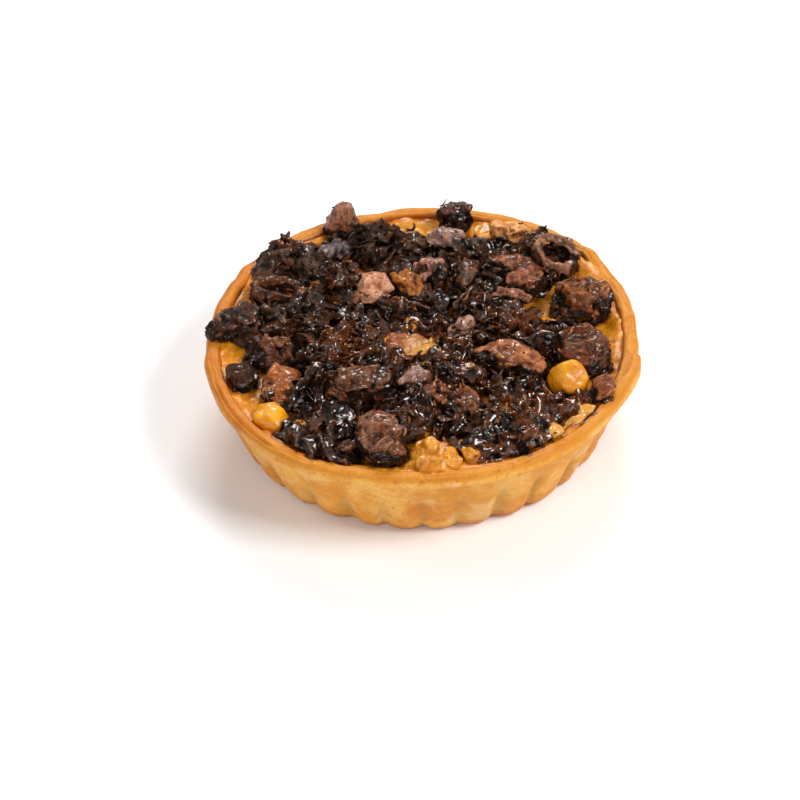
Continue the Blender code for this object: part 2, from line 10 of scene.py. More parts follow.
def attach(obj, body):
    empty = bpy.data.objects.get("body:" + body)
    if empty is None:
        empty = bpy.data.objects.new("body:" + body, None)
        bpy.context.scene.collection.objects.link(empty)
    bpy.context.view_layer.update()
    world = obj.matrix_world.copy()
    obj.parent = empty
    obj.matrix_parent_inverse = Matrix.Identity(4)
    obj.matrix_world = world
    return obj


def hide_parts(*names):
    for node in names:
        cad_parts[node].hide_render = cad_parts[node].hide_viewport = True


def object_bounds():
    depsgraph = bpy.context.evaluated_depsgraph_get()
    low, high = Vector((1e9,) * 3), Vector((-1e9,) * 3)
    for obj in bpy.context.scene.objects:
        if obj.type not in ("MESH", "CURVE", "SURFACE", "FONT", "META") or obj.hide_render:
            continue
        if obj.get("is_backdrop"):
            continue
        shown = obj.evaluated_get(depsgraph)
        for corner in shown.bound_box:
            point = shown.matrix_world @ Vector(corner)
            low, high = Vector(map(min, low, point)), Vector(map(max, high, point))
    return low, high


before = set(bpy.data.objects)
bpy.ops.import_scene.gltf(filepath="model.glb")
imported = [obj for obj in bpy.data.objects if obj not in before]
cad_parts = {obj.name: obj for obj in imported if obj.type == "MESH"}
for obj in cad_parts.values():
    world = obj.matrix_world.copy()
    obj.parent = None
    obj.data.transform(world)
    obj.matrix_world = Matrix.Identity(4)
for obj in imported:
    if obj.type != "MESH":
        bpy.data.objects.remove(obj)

cad_low, cad_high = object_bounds()
noise.seed_set(5)

MM = 0.001
MERGE = 0.001 * MM

# The case, as in the part's source.
RIM_RADIUS = 60.0 * MM
BASE_RADIUS = 50.8 * MM
CASE_HEIGHT = 26.6 * MM
WALL = 4.7 * MM
FLOOR = 4.0 * MM
FLUTES = 32
FLUTE_DEPTH = 1.5 * MM
FLUTE_FADE_FROM = 13.0 * MM
FLUTE_FADE_TO = 22.0 * MM
LIP_HEIGHT = 4.2 * MM
LIP_PROUD = 0.9 * MM
OVAL = 1.1 * MM
OVAL_TURN = math.radians(45)
CORNERS = 0.65 * MM
RIM_WAVE = 0.75 * MM
RIM_WANDER = 0.5 * MM
SPLIT_ANGLE = math.radians(-9)
SPLIT_LENGTH = math.radians(26)
SPLIT_STEP = 1.5 * MM
FLAKE_ANGLE = math.radians(37)
FLAKE_WIDTH = math.radians(3)
FLAKE_HEIGHT = 1.5 * MM

# The custard, as in the part's source.
CUSTARD_LEVEL = 23.2 * MM
CUSTARD_WAVE = 0.7 * MM
MOUND_PLACE = Vector((46, 27)) * MM
MOUND_RADIUS = 8.0 * MM
MOUND = 1.8 * MM

CUSTARD_BOTTOM = 12 * MM

# How finely the pieces are meshed.
CRUST_STEPS = 512
CRUST_RING = 0.5 * MM
CUSTARD_STEPS = 256
CUSTARD_RING = 0.75 * MM
SAUSAGE_GRAIN = 0.38 * MM
CHEESE_GRAIN = 0.45 * MM
ONION_GRAIN = 0.4 * MM

# How deep a piece's underside sinks, and up to what height over the custard it does so.
SINK = 1.5 * MM
SINK_WHOLLY = 0.7
SINK_FADE = 1.4
# How near the side of the CAD model's box a form is pressed in.
BOX_EDGE = 0.8 * MM


# ---- forms

def clamp(value):
    return min(1.0, max(0.0, value))


def smooth(value):
    value = clamp(value)
    return value * value * (3 - 2 * value)


def round_noise(angle, waves, seed):
    return noise.noise(Vector((waves * math.cos(angle), waves * math.sin(angle), seed)))


def angle_between(a, b):
    return math.atan2(math.sin(a - b), math.cos(a - b))


def out_of_round(angle):
    oval = OVAL * math.cos(2 * (angle - OVAL_TURN))
    corners = CORNERS * math.cos(4 * angle)
    return oval - corners + RIM_WANDER * round_noise(angle, 1.6, 3.0)


def outer_radius(height):
    share = clamp(height / CASE_HEIGHT)
    return BASE_RADIUS + (RIM_RADIUS - LIP_PROUD - BASE_RADIUS) * (1 - (1 - share) ** 1.25)


def inner_radius(height):
    floor_radius = outer_radius(FLOOR) - WALL
    rise = (height - FLOOR) / (CASE_HEIGHT - FLOOR)
    return floor_radius + (RIM_RADIUS - WALL - floor_radius) * rise


def custard_top(x, y):
    waves = noise.noise(Vector((x, y, 0)) / (12 * MM))
    away = (Vector((x, y)) - MOUND_PLACE).length / MOUND_RADIUS
    return CUSTARD_LEVEL + CUSTARD_WAVE * waves + MOUND * math.exp(-away * away)


def clouds(points, size, seed):
    """Soft noise from -1 to 1 at each point, its lumps about size millimetres across."""
    places = (points / (size * MM) + seed).tolist()
    return np.array([noise.noise(place) for place in places])


def cloud_vectors(points, size, seed):
    places = (points / (size * MM) + seed).tolist()
    return np.array([noise.noise_vector(place) for place in places])


def cobbles(points, size, seed):
    """1 in the middle of each rounded grain, 0 between the grains."""
    places = (points / (size * MM) + seed).tolist()
    return 1 - np.array([noise.voronoi(place)[0][0] for place in places])


def drawn_out(points, way, by, seed):
    """The points squeezed along one bending way, so noise on them comes out in strands."""
    bent = points + cloud_vectors(points, 9, seed) * (3.5 * MM)
    along = bent @ (math.cos(way), math.sin(way), 0)
    across = bent @ (-math.sin(way), math.cos(way), 0)
    return np.stack([along / by, across, bent[:, 2]], axis=1)


def layer_edges(points, size, spacing, seed):
    """Curved parallel crests, like the edges of stacked onion layers: 1 on a crest, 0 between."""
    waves = np.sin(math.pi * size / (1.2 * spacing) * clouds(points, size, seed))
    return (1 - np.abs(waves)) ** 1.4


def wrinkled(points, size, seed):
    """Rounded swellings with sharp wrinkles between, from 0 to 1."""
    return np.minimum(1, np.abs(clouds(points, size, seed)) * 2.4)


def crumpled(points, size, seed):
    """Sharp winding crests with hollows between, from 0 to 1, like skins folded together."""
    return (1 - wrinkled(points, size, seed)) ** 1.3


def tree_of(spots):
    tree = kdtree.KDTree(len(spots))
    for i, spot in enumerate(spots):
        tree.insert(spot, i)
    tree.balance()
    return tree


class Form:
    """A fine mesh, its points as an array, and what is worked out from them."""

    def __init__(self, mesh):
        self.mesh = mesh
        count = len(mesh.vertices)
        flat = np.empty(count * 3)
        mesh.vertices.foreach_get("co", flat)
        self.points = flat.reshape(-1, 3)
        ends = np.empty(len(mesh.edges) * 2, np.int64)
        mesh.edges.foreach_get("vertices", ends)
        ends = ends.reshape(-1, 2)
        self.near = np.concatenate([ends[:, 0], ends[:, 1]])
        self.far = np.concatenate([ends[:, 1], ends[:, 0]])
        self.count = count
        self.links = np.bincount(self.near, minlength=count).clip(1)

    def softened(self, values, times):
        """The values averaged with their neighbours' so many times."""
        values = np.asarray(values, float)
        for _ in range(times):
            columns = values.reshape(self.count, -1)
            sums = [
                np.bincount(self.near, columns[self.far, i], minlength=self.count)
                for i in range(columns.shape[1])
            ]
            around = (np.stack(sums, axis=1) / self.links[:, None]).reshape(values.shape)
            values = (values + around) / 2
        return values

    def place(self):
        self.mesh.vertices.foreach_set("co", self.points.reshape(-1))
        self.mesh.update()

    def keep_in_box(self):
        """Presses in, softly, what stands close to or past the sides of the CAD model's box."""
        for axis, way, side in ((0, 1, cad_high[0]), (0, -1, cad_low[0]), (1, 1, cad_high[1]),
                                (1, -1, cad_low[1]), (2, 1, cad_high[2])):
            past = np.maximum(way * (self.points[:, axis] - side) + BOX_EDGE, 0)
            pressed = BOX_EDGE * (1 - np.exp(-past / BOX_EDGE))
            self.points[:, axis] -= way * (past - pressed)

    def normals(self):
        self.place()
        flat = np.empty(self.count * 3)
        self.mesh.vertices.foreach_get("normal", flat)
        return flat.reshape(-1, 3)

    def push(self, amounts):
        """Moves each point along its normal, in millimetres."""
        self.points = self.points + self.normals() * (np.asarray(amounts) * MM)[:, None]

    def warp(self, size, depth, seed):
        """Bends the whole form by soft noise."""
        self.points = self.points + cloud_vectors(self.points, size, seed) * (depth * MM)

    def relief(self, times, depth):
        """How far each point stands out of its softened surroundings, from -1 to 1."""
        proud = ((self.points - self.softened(self.points, times)) * self.normals()).sum(axis=1)
        return np.clip(proud / depth, -1, 1)

    def mark(self, **marks):
        """Gives each point a value under each name, for the finish to read."""
        for name, values in marks.items():
            layer = self.mesh.attributes.new(name, "FLOAT", "POINT")
            layer.data.foreach_set("value", np.asarray(values, np.float32))


def meshed(name, shape):
    mesh = bpy.data.meshes.new(name)
    shape.to_mesh(mesh)
    shape.free()
    return mesh


def stood(name, data):
    """A new object in the scene."""
    stand = bpy.data.objects.new(name, data)
    bpy.context.scene.collection.objects.link(stand)
    return stand


def nodes_of(start):
    return sorted(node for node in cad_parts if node.startswith(start))


def area_of(mesh, lowest=-2.0):
    """The area in square millimetres of the faces whose normals point up more than lowest."""
    return sum(face.area for face in mesh.polygons if face.normal.z > lowest) / MM ** 2


def evenly(name, shape, grain):
    """The outside of all the closed shells in a bmesh as one fine, even mesh."""
    rough = meshed(name + "_rough", shape)
    stand_in = stood(name + "_rough", rough)
    even = stand_in.modifiers.new("even", "REMESH")
    even.mode = "VOXEL"
    even.voxel_size = grain
    depsgraph = bpy.context.evaluated_depsgraph_get()
    mesh = bpy.data.meshes.new_from_object(stand_in.evaluated_get(depsgraph))
    mesh.name = name
    bpy.data.objects.remove(stand_in)
    bpy.data.meshes.remove(rough)
    return Form(mesh)


def solid_of(node, full=False):
    """A merged copy of a node's solid, or of its convex hull when full."""
    shape = bmesh.new()
    shape.from_mesh(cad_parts[node].data)
    bmesh.ops.remove_doubles(shape, verts=shape.verts, dist=MERGE)
    if full:
        hull = bmesh.ops.convex_hull(shape, input=shape.verts)
        kept = set(part for part in hull["geom"] if isinstance(part, bmesh.types.BMFace))
        hollow = [face for face in shape.faces if face not in kept]
        bmesh.ops.delete(shape, geom=hollow, context="FACES")
    return shape


def set_down(name, mesh, material, slot, *nodes):
    """Puts a finished mesh into the scene as a piece that rides on the quiche."""
    mesh.name = name
    mesh.materials.clear()
    mesh.materials.append(material)
    mesh.shade_smooth()
    piece = stood(name, mesh)
    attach(piece, "root")
    if nodes:
        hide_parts(*nodes)


# ---- finishes

def shade(red, green, blue):
    """A colour as it shows on a screen, 0 to 255, turned into the shader's own numbers."""
    def linear(part):
        part = part / 255
        return part / 12.92 if part <= 0.04045 else ((part + 0.055) / 1.055) ** 2.4
    return (linear(red), linear(green), linear(blue), 1.0)


def wired(operation):
    """A sum that becomes a Math node."""
    return lambda first, second: first.finish.maths(operation, first, second)


class Wire:
    """One number or colour in a finish's node tree; sums on it become Math nodes."""

    def __init__(self, finish, socket):
        self.finish = finish
        self.socket = socket

    __add__ = __radd__ = wired("ADD")
    __mul__ = __rmul__ = wired("MULTIPLY")
    __sub__ = wired("SUBTRACT")

    def __rsub__(self, other):
        return self.finish.maths("SUBTRACT", other, self)

    def __neg__(self):
        return 0 - self

    def step(self, start, end):
        """0 below start, 1 above end, smooth between."""
        sockets = {"Value": self, "From Min": start, "From Max": end}
        return self.finish.node("MapRange", {"interpolation_type": "SMOOTHSTEP"}, sockets)

    def frayed(self, cloud, amount, start, end):
        """A step with an edge frayed by a cloud."""
        return (self + (cloud - 0.5) * amount).step(start, end)


class Finish:
    """A material made of nodes."""

    def __init__(self, name, **shader):
        self.material = bpy.data.materials.new(name)
        self.material.use_nodes = True
        self.tree = self.material.node_tree
        self.shader = self.tree.nodes["Principled BSDF"]
        for socket, value in shader.items():
            self.shader.inputs[socket.replace("_", " ")].default_value = value
        self.spot = self.node("TexCoord", outlet="Object")

    def node(self, kind, settings=None, sockets=None, outlet=0):
        made = self.tree.nodes.new("ShaderNode" + kind)
        for name, value in (settings or {}).items():
            setattr(made, name, value)
        for name, value in (sockets or {}).items():
            self.feed(made.inputs[name], value)
        return Wire(self, made.outputs[outlet])

    def feed(self, socket, value):
        if isinstance(value, Wire):
            self.tree.links.new(value.socket, socket)
        else:
            socket.default_value = value

    def maths(self, operation, first, second=0):
        return self.node("Math", {"operation": operation}, {0: first, 1: second})

    def marks(self, *names):
        """The values that a form was marked with, one for each name."""
        return [self.node("Attribute", {"attribute_name": name}, outlet="Fac") for name in names]

    def along(self, axis):
        return self.node("SeparateXYZ", {}, {"Vector": self.spot}, axis)

    def stretched(self, size, stretch=(1, 1, 1), turn=(0, 0, 0)):
        scale = tuple(1 / (size * MM * part) for part in stretch)
        turned = self.node("Mapping", {}, {"Vector": self.spot, "Rotation": turn})
        return self.node("VectorMath", {"operation": "MULTIPLY"}, {0: turned, 1: scale})

    def cloud(self, size, detail=2.0, rough=0.55, stretch=(1, 1, 1), turn=(0, 0, 0), warp=0.0):
        """Soft noise from 0 to 1, its lumps about size millimetres across."""
        sockets = {"Vector": self.stretched(size, stretch, turn), "Scale": 1.0, "Detail": detail,
                   "Roughness": rough, "Distortion": warp}
        return self.node("TexNoise", {}, sockets, "Fac")

    def cells(self, size):
        """How far each point is from the middle of its cell."""
        sockets = {"Vector": self.stretched(size), "Scale": 1.0}
        return self.node("TexVoronoi", {}, sockets, "Distance")

    def mix(self, first, second, factor):
        """Two colours mixed; each is a Wire or three numbers from 0 to 255."""
        first, second = (shade(*one) if isinstance(one, tuple) else one for one in (first, second))
        return self.node("Mix", {"data_type": "RGBA"}, {0: factor, 6: first, 7: second}, 2)

    def over(self, colour, factor):
        """Lays a colour over the finish as far as the factor says."""
        self.colour = self.mix(self.colour, colour, factor)

    def ridges(self, size):
        """Thin winding crests, from 0 to 1, about size millimetres apart."""
        halves = self.cloud(size * 1.6, 2, 0.5, warp=0.4) * 2 - 1
        finer = self.cloud(size * 0.7, 2, 0.5) * 2 - 1
        return 1.5 - self.maths("ABSOLUTE", halves) * 3 - self.maths("ABSOLUTE", finer) * 1.5

    def bump(self, height, depth, under=None, strength=1.0):
        sockets = {"Height": height, "Distance": depth * MM, "Strength": strength}
        if under:
            sockets["Normal"] = under
        return self.node("Bump", {}, sockets)

    def done(self, **sockets):
        for name, value in {"Base Color": self.colour, **sockets}.items():
            self.feed(self.shader.inputs[name.replace("_", " ")], value)
        return self.material


def crust_finish():
    bake = Finish("baked_crust", IOR=1.4, Specular_IOR_Level=0.2, Coat_Roughness=0.25)
    rim, inside, line, syrup = bake.marks("rim", "inside", "line", "syrup")
    crease, foot, spot = bake.marks("crease", "foot", "spot")
    patches = bake.cloud(13, 3, 0.6)
    flecks = bake.cloud(2.2, 4, 0.65)
    bake.colour = bake.mix((220, 148, 52), (236, 178, 88), patches.step(0.4, 0.62))
    bake.over((212, 138, 52), flecks.step(0.48, 0.72) * 0.5)
    toasted = bake.cloud(17, 4, 0.62).step(0.5, 0.66)
    bake.over((208, 120, 34), toasted * 0.65)
    bake.over((236, 196, 130), bake.cloud(9, 2, 0.5).step(0.56, 0.7) * (1 - rim) * 0.6)
    # Painted shade: the flute creases are laid darker and duller.
    bake.over((178, 134, 62), crease.step(0.25, 0.95) * 0.5)
    bake.over((204, 116, 34), foot * 0.75)
    bake.over((200, 126, 32), rim * 0.8)
    bake.over((166, 78, 5), inside)
    bake.over((188, 98, 16), line * 0.6)
    bake.over((196, 104, 30), bake.cloud(1.5, 4, 0.65, (3.0, 3.0, 0.5)).step(0.6, 0.74) * 0.35)
    freckles = 1 - bake.cells(4.2).step(0.04, 0.09)
    bake.over((96, 44, 14), freckles * bake.cloud(7, 1).step(0.5, 0.56) * 0.8)
    bake.over((20, 9, 5), spot)
    syrup = syrup.frayed(bake.cloud(1.8, 4, 0.7), 1.1, 0.42, 0.8)
    bake.over(bake.mix((168, 74, 12), (58, 20, 5), syrup.step(0.5, 1.0)), syrup * 0.9)
    pits = 1 - bake.cloud(0.9, 3, 0.7).step(0.34, 0.42)
    bake.over((190, 112, 40), pits * 0.4)
    # Painted shade: the left side of the case is laid browner and darker.
    shaded_left_side = (-bake.along("X")).step(25 * MM, 58 * MM)
    bake.over((184, 96, 4), shaded_left_side * (0.5 + toasted * 0.3) * (1 - spot))
    grain = bake.cloud(0.7, 4, 0.7) * 0.5 + bake.cloud(2.6, 4, 0.6) - pits * 0.3
    return bake.done(Roughness=0.52 - inside * 0.16 + (flecks - 0.5) * 0.3,
                     Normal=bake.bump(grain, 0.36, strength=0.9),
                     Coat_Weight=0.06 + inside * 0.3 + syrup * 0.5)


def custard_finish():
    bake = Finish("baked_custard", IOR=1.4, Specular_IOR_Level=0.25, Coat_Roughness=0.1,
                  Subsurface_Weight=0.05, Subsurface_Scale=0.002, Subsurface_Radius=(1.0, 0.5, 0.2))
    stain, edge, relief, swell, melt = bake.marks("stain", "edge", "relief", "swell", "melt")
    patches = bake.cloud(5, 3, 0.6)
    bake.colour = bake.mix((198, 120, 6), (220, 148, 26), patches.step(0.4, 0.62))
    # Painted highlight: the custard is laid paler on its crests.
    bake.over((228, 166, 64), relief.step(0.2, 0.9) * 0.6)
    bake.over((196, 100, 18), bake.cloud(2.8, 4, 0.65).step(0.5, 0.66) * 0.7)
    bake.over((202, 112, 12), edge * patches.step(0.4, 0.6) * 0.8)
    streaks = bake.cloud(2.6, 4, 0.65, (0.7, 1.8, 1), (0, 0, 0.5))
    bake.over((150, 78, 18), swell.frayed(streaks, 0.6, 0.1, 0.5) * 0.9)
    cream = swell.frayed(streaks, 1.1, 0.6, 1.05)
    bake.over(bake.mix((144, 84, 34), (196, 140, 84), patches.step(0.42, 0.6)), cream)
    molten = bake.mix((170, 94, 4), (224, 152, 40), bake.cloud(1.6, 4, 0.65).step(0.4, 0.62))
    bake.over(molten, melt.frayed(streaks, 0.6, 0.3, 0.7) * 0.9)
    # Browned round the pieces.
    browned = stain.frayed(bake.cloud(2.2, 4, 0.7), 1.2, 0.45, 0.95)
    bake.over((126, 56, 10), browned * (1 - swell) * 0.9)
    # Near black right at the foot of the pieces.
    bake.over((36, 16, 5), stain.step(0.85, 1.0) * (1 - swell) * 0.85)
    froth = bake.cloud(0.9, 3, 0.65).step(0.6, 0.7) * (1 - browned)
    bake.over((238, 192, 112), froth * (0.25 + cream * 0.2) * (1 - edge))
    grain = bake.cloud(0.7, 4, 0.65) * 0.6 + bake.cloud(2.0, 3)
    return bake.done(Roughness=0.36 + (patches - 0.5) * 0.25,
                     Normal=bake.bump(grain, 0.5), Coat_Weight=0.25)


def cheese_finish():
    bake = Finish("melted_cheese", IOR=1.4, Coat_Roughness=0.1, Subsurface_Weight=0.15,
                  Subsurface_Scale=0.002, Subsurface_Radius=(1.0, 0.6, 0.15))
    relief, foot, side, baked = bake.marks("relief", "foot", "side", "baked")
    patches = bake.cloud(4, 3, 0.6)
    bake.colour = bake.mix((206, 130, 3), (236, 166, 14), patches.step(0.38, 0.62))
    froth = bake.cloud(1.3, 4, 0.7).step(0.55, 0.7)
    # Froth, laid paler where the cheese stands out, partly as a painted highlight.
    bake.over((244, 196, 92), froth * (relief + patches).step(0.3, 0.9) * 0.6)
    # Painted shade: darker orange in the hollows, on the steep sides and at the foot.
    bake.over((196, 108, 6), (-relief).step(0.1, 0.8) * 0.6)
    bake.over((224, 118, 4), side * 0.6)
    bake.over((176, 84, 8), foot * 0.7)
    bake.over((200, 126, 2), baked * 0.5)
    bake.over((176, 100, 0), bake.cloud(2.4, 4, 0.6).step(0.46, 0.62) * baked * 0.5)
    bake.over((240, 184, 70), bake.cloud(1.5, 4, 0.65).step(0.54, 0.68) * baked * 0.5)
    grain = bake.cloud(0.9, 4, 0.7) + bake.cloud(2.4, 2)
    return bake.done(Roughness=0.32, Normal=bake.bump(grain * (0.4 + baked * 0.8), 0.35),
                     Coat_Weight=0.32 + baked * 0.2)


# The first two are near-black painted shade for crevices and hollows; soot is also laid more in the
# hollows.
CREVICE_SHADE = (9, 3, 1)
HOLLOW_SHADE = (17, 7, 3)
SOOT_AND_SHADE = (30, 15, 9)
BROWNED_EDGE = (166, 88, 26)
AMBER = (138, 58, 10)
FAT = (196, 122, 48)


def lighter(colour, by):
    return tuple(min(255, part + (255 - part) * by) for part in colour)


def sausage_finish(name, light, dark, gloss, fibre, fat, edge):
    """Cooked sausage: light and dark are its flesh; it is black and wet where it is charred, and on its
    sides and low parts as painted shade.
    """
    bake = Finish(name, IOR=1.4, Specular_IOR_Level=0.2, Coat_Roughness=0.18, Coat_IOR=1.65,
                  Subsurface_Weight=0.12, Subsurface_Scale=0.0012, Subsurface_Radius=(1.0, 0.45, 0.25))
    relief, broad, burnt = bake.marks("relief", "broad", "burnt")
    mottle = bake.cloud(2.8, 4, 0.65)
    # Painted light and shade: the flesh is paler where the form swells out and darker in broad hollows.
    bake.colour = bake.mix(dark, light, (mottle + broad * 0.12).step(0.34, 0.66))
    bake.over(lighter(light, 0.2), bake.cloud(1.3, 3, 0.6).step(0.56, 0.74) * 0.4)
    if fibre > 1.5:
        strands = bake.cloud(0.7, 3, 0.6, (1, 1, 6), (0.15, 0.1, 0))
    else:
        strands = bake.cloud(0.7, 3, 0.6, (1, 6, 1), (0.4, 0.5, fibre or light[1] * 0.9))
    bake.over(lighter(light, 0.3), strands.step(0.52, 0.68) * (0.6 if fibre else 0.3))
    bake.over(dark, (1 - strands.step(0.34, 0.48)) * 0.4)
    if fat:
        lumps = 1 - bake.cells(1.5).step(0.14, 0.34)
        bake.over(FAT, lumps * bake.cloud(4, 2).step(0.45, 0.6) * fat)
    # A dark glaze, laid more in the broad hollows as painted shade.
    stained = (bake.cloud(5.5, 4, 0.66) - broad * 0.08).step(0.5, 0.6)
    bake.over(bake.mix((46, 20, 8), (92, 44, 16), mottle), stained * 0.72)
    # Soot, laid more in the broad hollows as painted shade.
    bake.over(SOOT_AND_SHADE, (bake.cloud(1.6, 4, 0.7) - broad * 0.1).step(0.6, 0.72) * 0.7)
    bake.over(BROWNED_EDGE, relief.step(0.5, 0.95) * bake.cloud(3.6, 2).step(0.42, 0.6) * edge)
    # Painted shade: near black in the crevices.
    bake.over(HOLLOW_SHADE, (-relief).step(0.15, 0.8) * 0.75)
    patches = bake.cloud(1.9, 4, 0.68)
    # The burnt mask holds char and the painted shade of the sides and low parts.
    ragged = burnt.frayed(patches, 0.9, 0.3, 0.62)
    scorched = burnt.frayed(patches, 0.9, 0.08, 0.4) * mottle.step(0.38, 0.6)
    bake.over(AMBER, scorched * edge)
    bake.over(BROWNED_EDGE, ragged * (1 - ragged) * bake.cloud(2.2, 3).step(0.44, 0.58) * (2.4 * edge))
    # Within the burnt parts, paler on the crests as painted light.
    crusted_and_lit = (bake.cloud(2.6, 4, 0.65) + relief * 0.1).step(0.44, 0.68)
    bake.over(bake.mix((24, 10, 5), (66, 34, 16), crusted_and_lit), ragged * 0.96)
    # Painted shade: near black in the crevices of the burnt parts.
    bake.over(CREVICE_SHADE, (-relief).step(0.1, 0.8) * ragged * 0.85)
    # Painted shade: near black in the broad hollows.
    bake.over(HOLLOW_SHADE, (-broad).step(0.3, 1.0) * 0.75)
    wet = bake.cloud(1.5, 4, 0.65).step(0.46, 0.6)
    folds = 1 - bake.maths("ABSOLUTE", strands * 2 - 1) * 2
    grain = folds * 0.6 + bake.cloud(1.3, 4, 0.62) * 0.8
    sharp = bake.bump(bake.ridges(0.6) * ragged, 0.42, bake.bump(grain, 0.5))
    return bake.done(Roughness=0.6 - wet * 0.18, Normal=sharp,
                     Coat_Weight=wet * (gloss + ragged * (0.9 - gloss)))


def onion_finish():
    """Onion charred nearly black, wet with fat, its thin skins and edges brown; painted shade darkens
    its crevices, hollows and front left.
    """
    bake = Finish("burnt_onion_finish", IOR=1.45, Specular_IOR_Level=0.1, Coat_Roughness=0.14,
                  Coat_IOR=1.7)
    relief, tone, foot, broad = bake.marks("relief", "tone", "foot", "broad")
    cover, cream, fleshy = bake.marks("cover", "cream", "fleshy")
    patches = bake.cloud(2.4, 4, 0.65)
    regions = bake.cloud(12, 3, 0.55)
    # Painted light and shade: paler where the heap swells out, darker in broad hollows.
    bake.colour = bake.mix((26, 11, 5), (128, 68, 30), (patches + broad * 0.12).step(0.43, 0.68))
    glazed = regions.frayed(patches, 0.6, 0.5, 0.6)
    bake.over((160, 82, 22), glazed * 0.62)
    amber = bake.cloud(1.4, 4, 0.7).step(0.56, 0.66) * (regions + patches).step(0.9, 1.1)
    bake.over((190, 98, 26), amber * 0.65)
    flesh = bake.mix((52, 25, 11), (150, 92, 60), bake.cloud(1.7, 4, 0.65).step(0.36, 0.66))
    bake.over(flesh, fleshy.frayed(patches, 1.1, 0.2, 0.65) * 0.9)
    skins = tone.frayed(patches, 0.9, 0.3, 0.8)
    bake.over((112, 66, 38), skins * 0.5)
    right, back = bake.along("X"), bake.along("Y")
    dry = (back - right * 0.7).step(10 * MM, 42 * MM)
    # Painted shade: the front left of the topping is laid darker.
    bake.over((22, 10, 5), (-back - right).step(25 * MM, 60 * MM) * 0.55)
    # Grey ash in the top left, laid more on the crests, partly as a painted sheen.
    ash_and_sheen = (bake.cloud(7, 4, 0.62) + dry * 0.2).step(0.54, 0.68) * relief.step(-0.9, 0.4)
    bake.over(bake.mix((70, 54, 46), (142, 122, 110), patches.step(0.36, 0.66)), ash_and_sheen * 0.75)
    bake.over((152, 112, 86), tone.step(0.7, 1.0) * 0.75)
    warm = relief.step(0.3, 0.9) * (bake.cloud(3, 3, 0.6) + tone * 0.1).step(0.48, 0.6)
    bake.over((166, 88, 34), warm * 0.75)
    bake.over((110, 44, 6), foot * patches.step(0.42, 0.58) * 0.8)
    # Painted shade: near black in the crevices and broad hollows.
    bake.over(CREVICE_SHADE, (-relief).step(0.05, 0.7) * 0.9)
    bake.over(CREVICE_SHADE, (-broad).step(0.2, 0.9) * 0.85)
    drips = bake.cloud(1.6, 4, 0.7)
    custard = bake.mix((206, 118, 22), (238, 170, 62), drips.step(0.42, 0.6))
    custard = bake.mix(custard, (230, 166, 78), cream.frayed(drips, 0.9, 0.35, 0.9))
    # Painted shade: the custard is darker in the hollows.
    custard = bake.mix(custard, (170, 92, 20), (-relief).step(0.3, 1.0) * 0.5)
    spread = cover + (drips - 0.5) * 0.8
    bake.over(bake.mix((92, 36, 8), (178, 84, 18), patches), spread.step(0.2, 0.5))
    clean = spread.step(0.5, 0.72)
    bake.over(custard, clean)
    wet = (bake.cloud(1.8, 3, 0.6) + broad * 0.06 - dry * 0.13).step(0.4, 0.54) * (1 - clean * 0.35)
    onion = 1 - clean * 0.75
    folded = bake.bump((bake.ridges(1.1) * 0.5 + bake.cloud(1.2, 3, 0.65)) * onion, 0.7)
    sharp = bake.bump((bake.ridges(0.42) + bake.cloud(0.42, 2, 0.6)) * onion, 0.6, folded)
    return bake.done(Roughness=0.6 - wet * 0.16, Normal=sharp,
                     Coat_Weight=wet * (relief + broad * 0.5).step(-0.6, 0.2))


def browned_finish():
    """Small torn flakes of flesh and onion, baked dark brown to orange."""
    bake = Finish("browned_flakes", IOR=1.4, Specular_IOR_Level=0.3, Coat_Roughness=0.2)
    tone, relief = bake.marks("tone", "relief")
    mottle = bake.cloud(1.2, 3, 0.6)
    bake.colour = bake.mix((58, 26, 10), (168, 92, 38), (tone * 0.5 + mottle).step(0.2, 0.8))
    bake.over((222, 150, 74), (relief + tone).step(0.5, 1.3) * 0.8)
    return bake.done(Roughness=0.55 - mottle * 0.2,
                     Normal=bake.bump(bake.cloud(0.5, 3, 0.6), 0.3), Coat_Weight=mottle * 0.5)


# ---- crust

def curve_through(corners, spacing):
    """Points at about the spacing along a smooth curve through the corners."""
    ends = [corners[0]] + corners + [corners[-1]]
    run = []
    for i in range(1, len(ends) - 2):
        before, start, end, after = (Vector(ends[i + k]) for k in (-1, 0, 1, 2))
        steps = max(1, round((end - start).length / spacing))
        for k in range(steps):
            t = k / steps
            bend = 2 * before - 5 * start + 4 * end - after
            twist = 3 * start - before - 3 * end + after
            run.append(start + ((end - before) * t + bend * t * t + twist * t ** 3) / 2)
    return run + [Vector(corners[-1])]


def spun(profile, steps):
    """A closed round body from a profile of (radius, height) that starts and ends on the axis."""
    shape = bmesh.new()
    verts = [shape.verts.new((max(0.0, point[0]), 0, point[1])) for point in profile]
    for i in range(len(verts) - 1):
        shape.edges.new((verts[i], verts[i + 1]))
    bmesh.ops.spin(shape, geom=shape.verts[:] + shape.edges[:], cent=(0, 0, 0), axis=(0, 0, 1),
                   angle=math.tau / 16, steps=steps // 16)
    for turn in (1 / 16, 1 / 8, 1 / 4, 1 / 2):
        again = bmesh.ops.duplicate(shape, geom=shape.verts[:] + shape.edges[:] + shape.faces[:])
        verts = [part for part in again["geom"] if isinstance(part, bmesh.types.BMVert)]
        turned = Matrix.Rotation(math.tau * turn, 3, "Z")
        bmesh.ops.rotate(shape, cent=(0, 0, 0), matrix=turned, verts=verts)
    bmesh.ops.remove_doubles(shape, verts=shape.verts, dist=MERGE)
    bmesh.ops.recalc_face_normals(shape, faces=shape.faces)
    return meshed("round", shape)


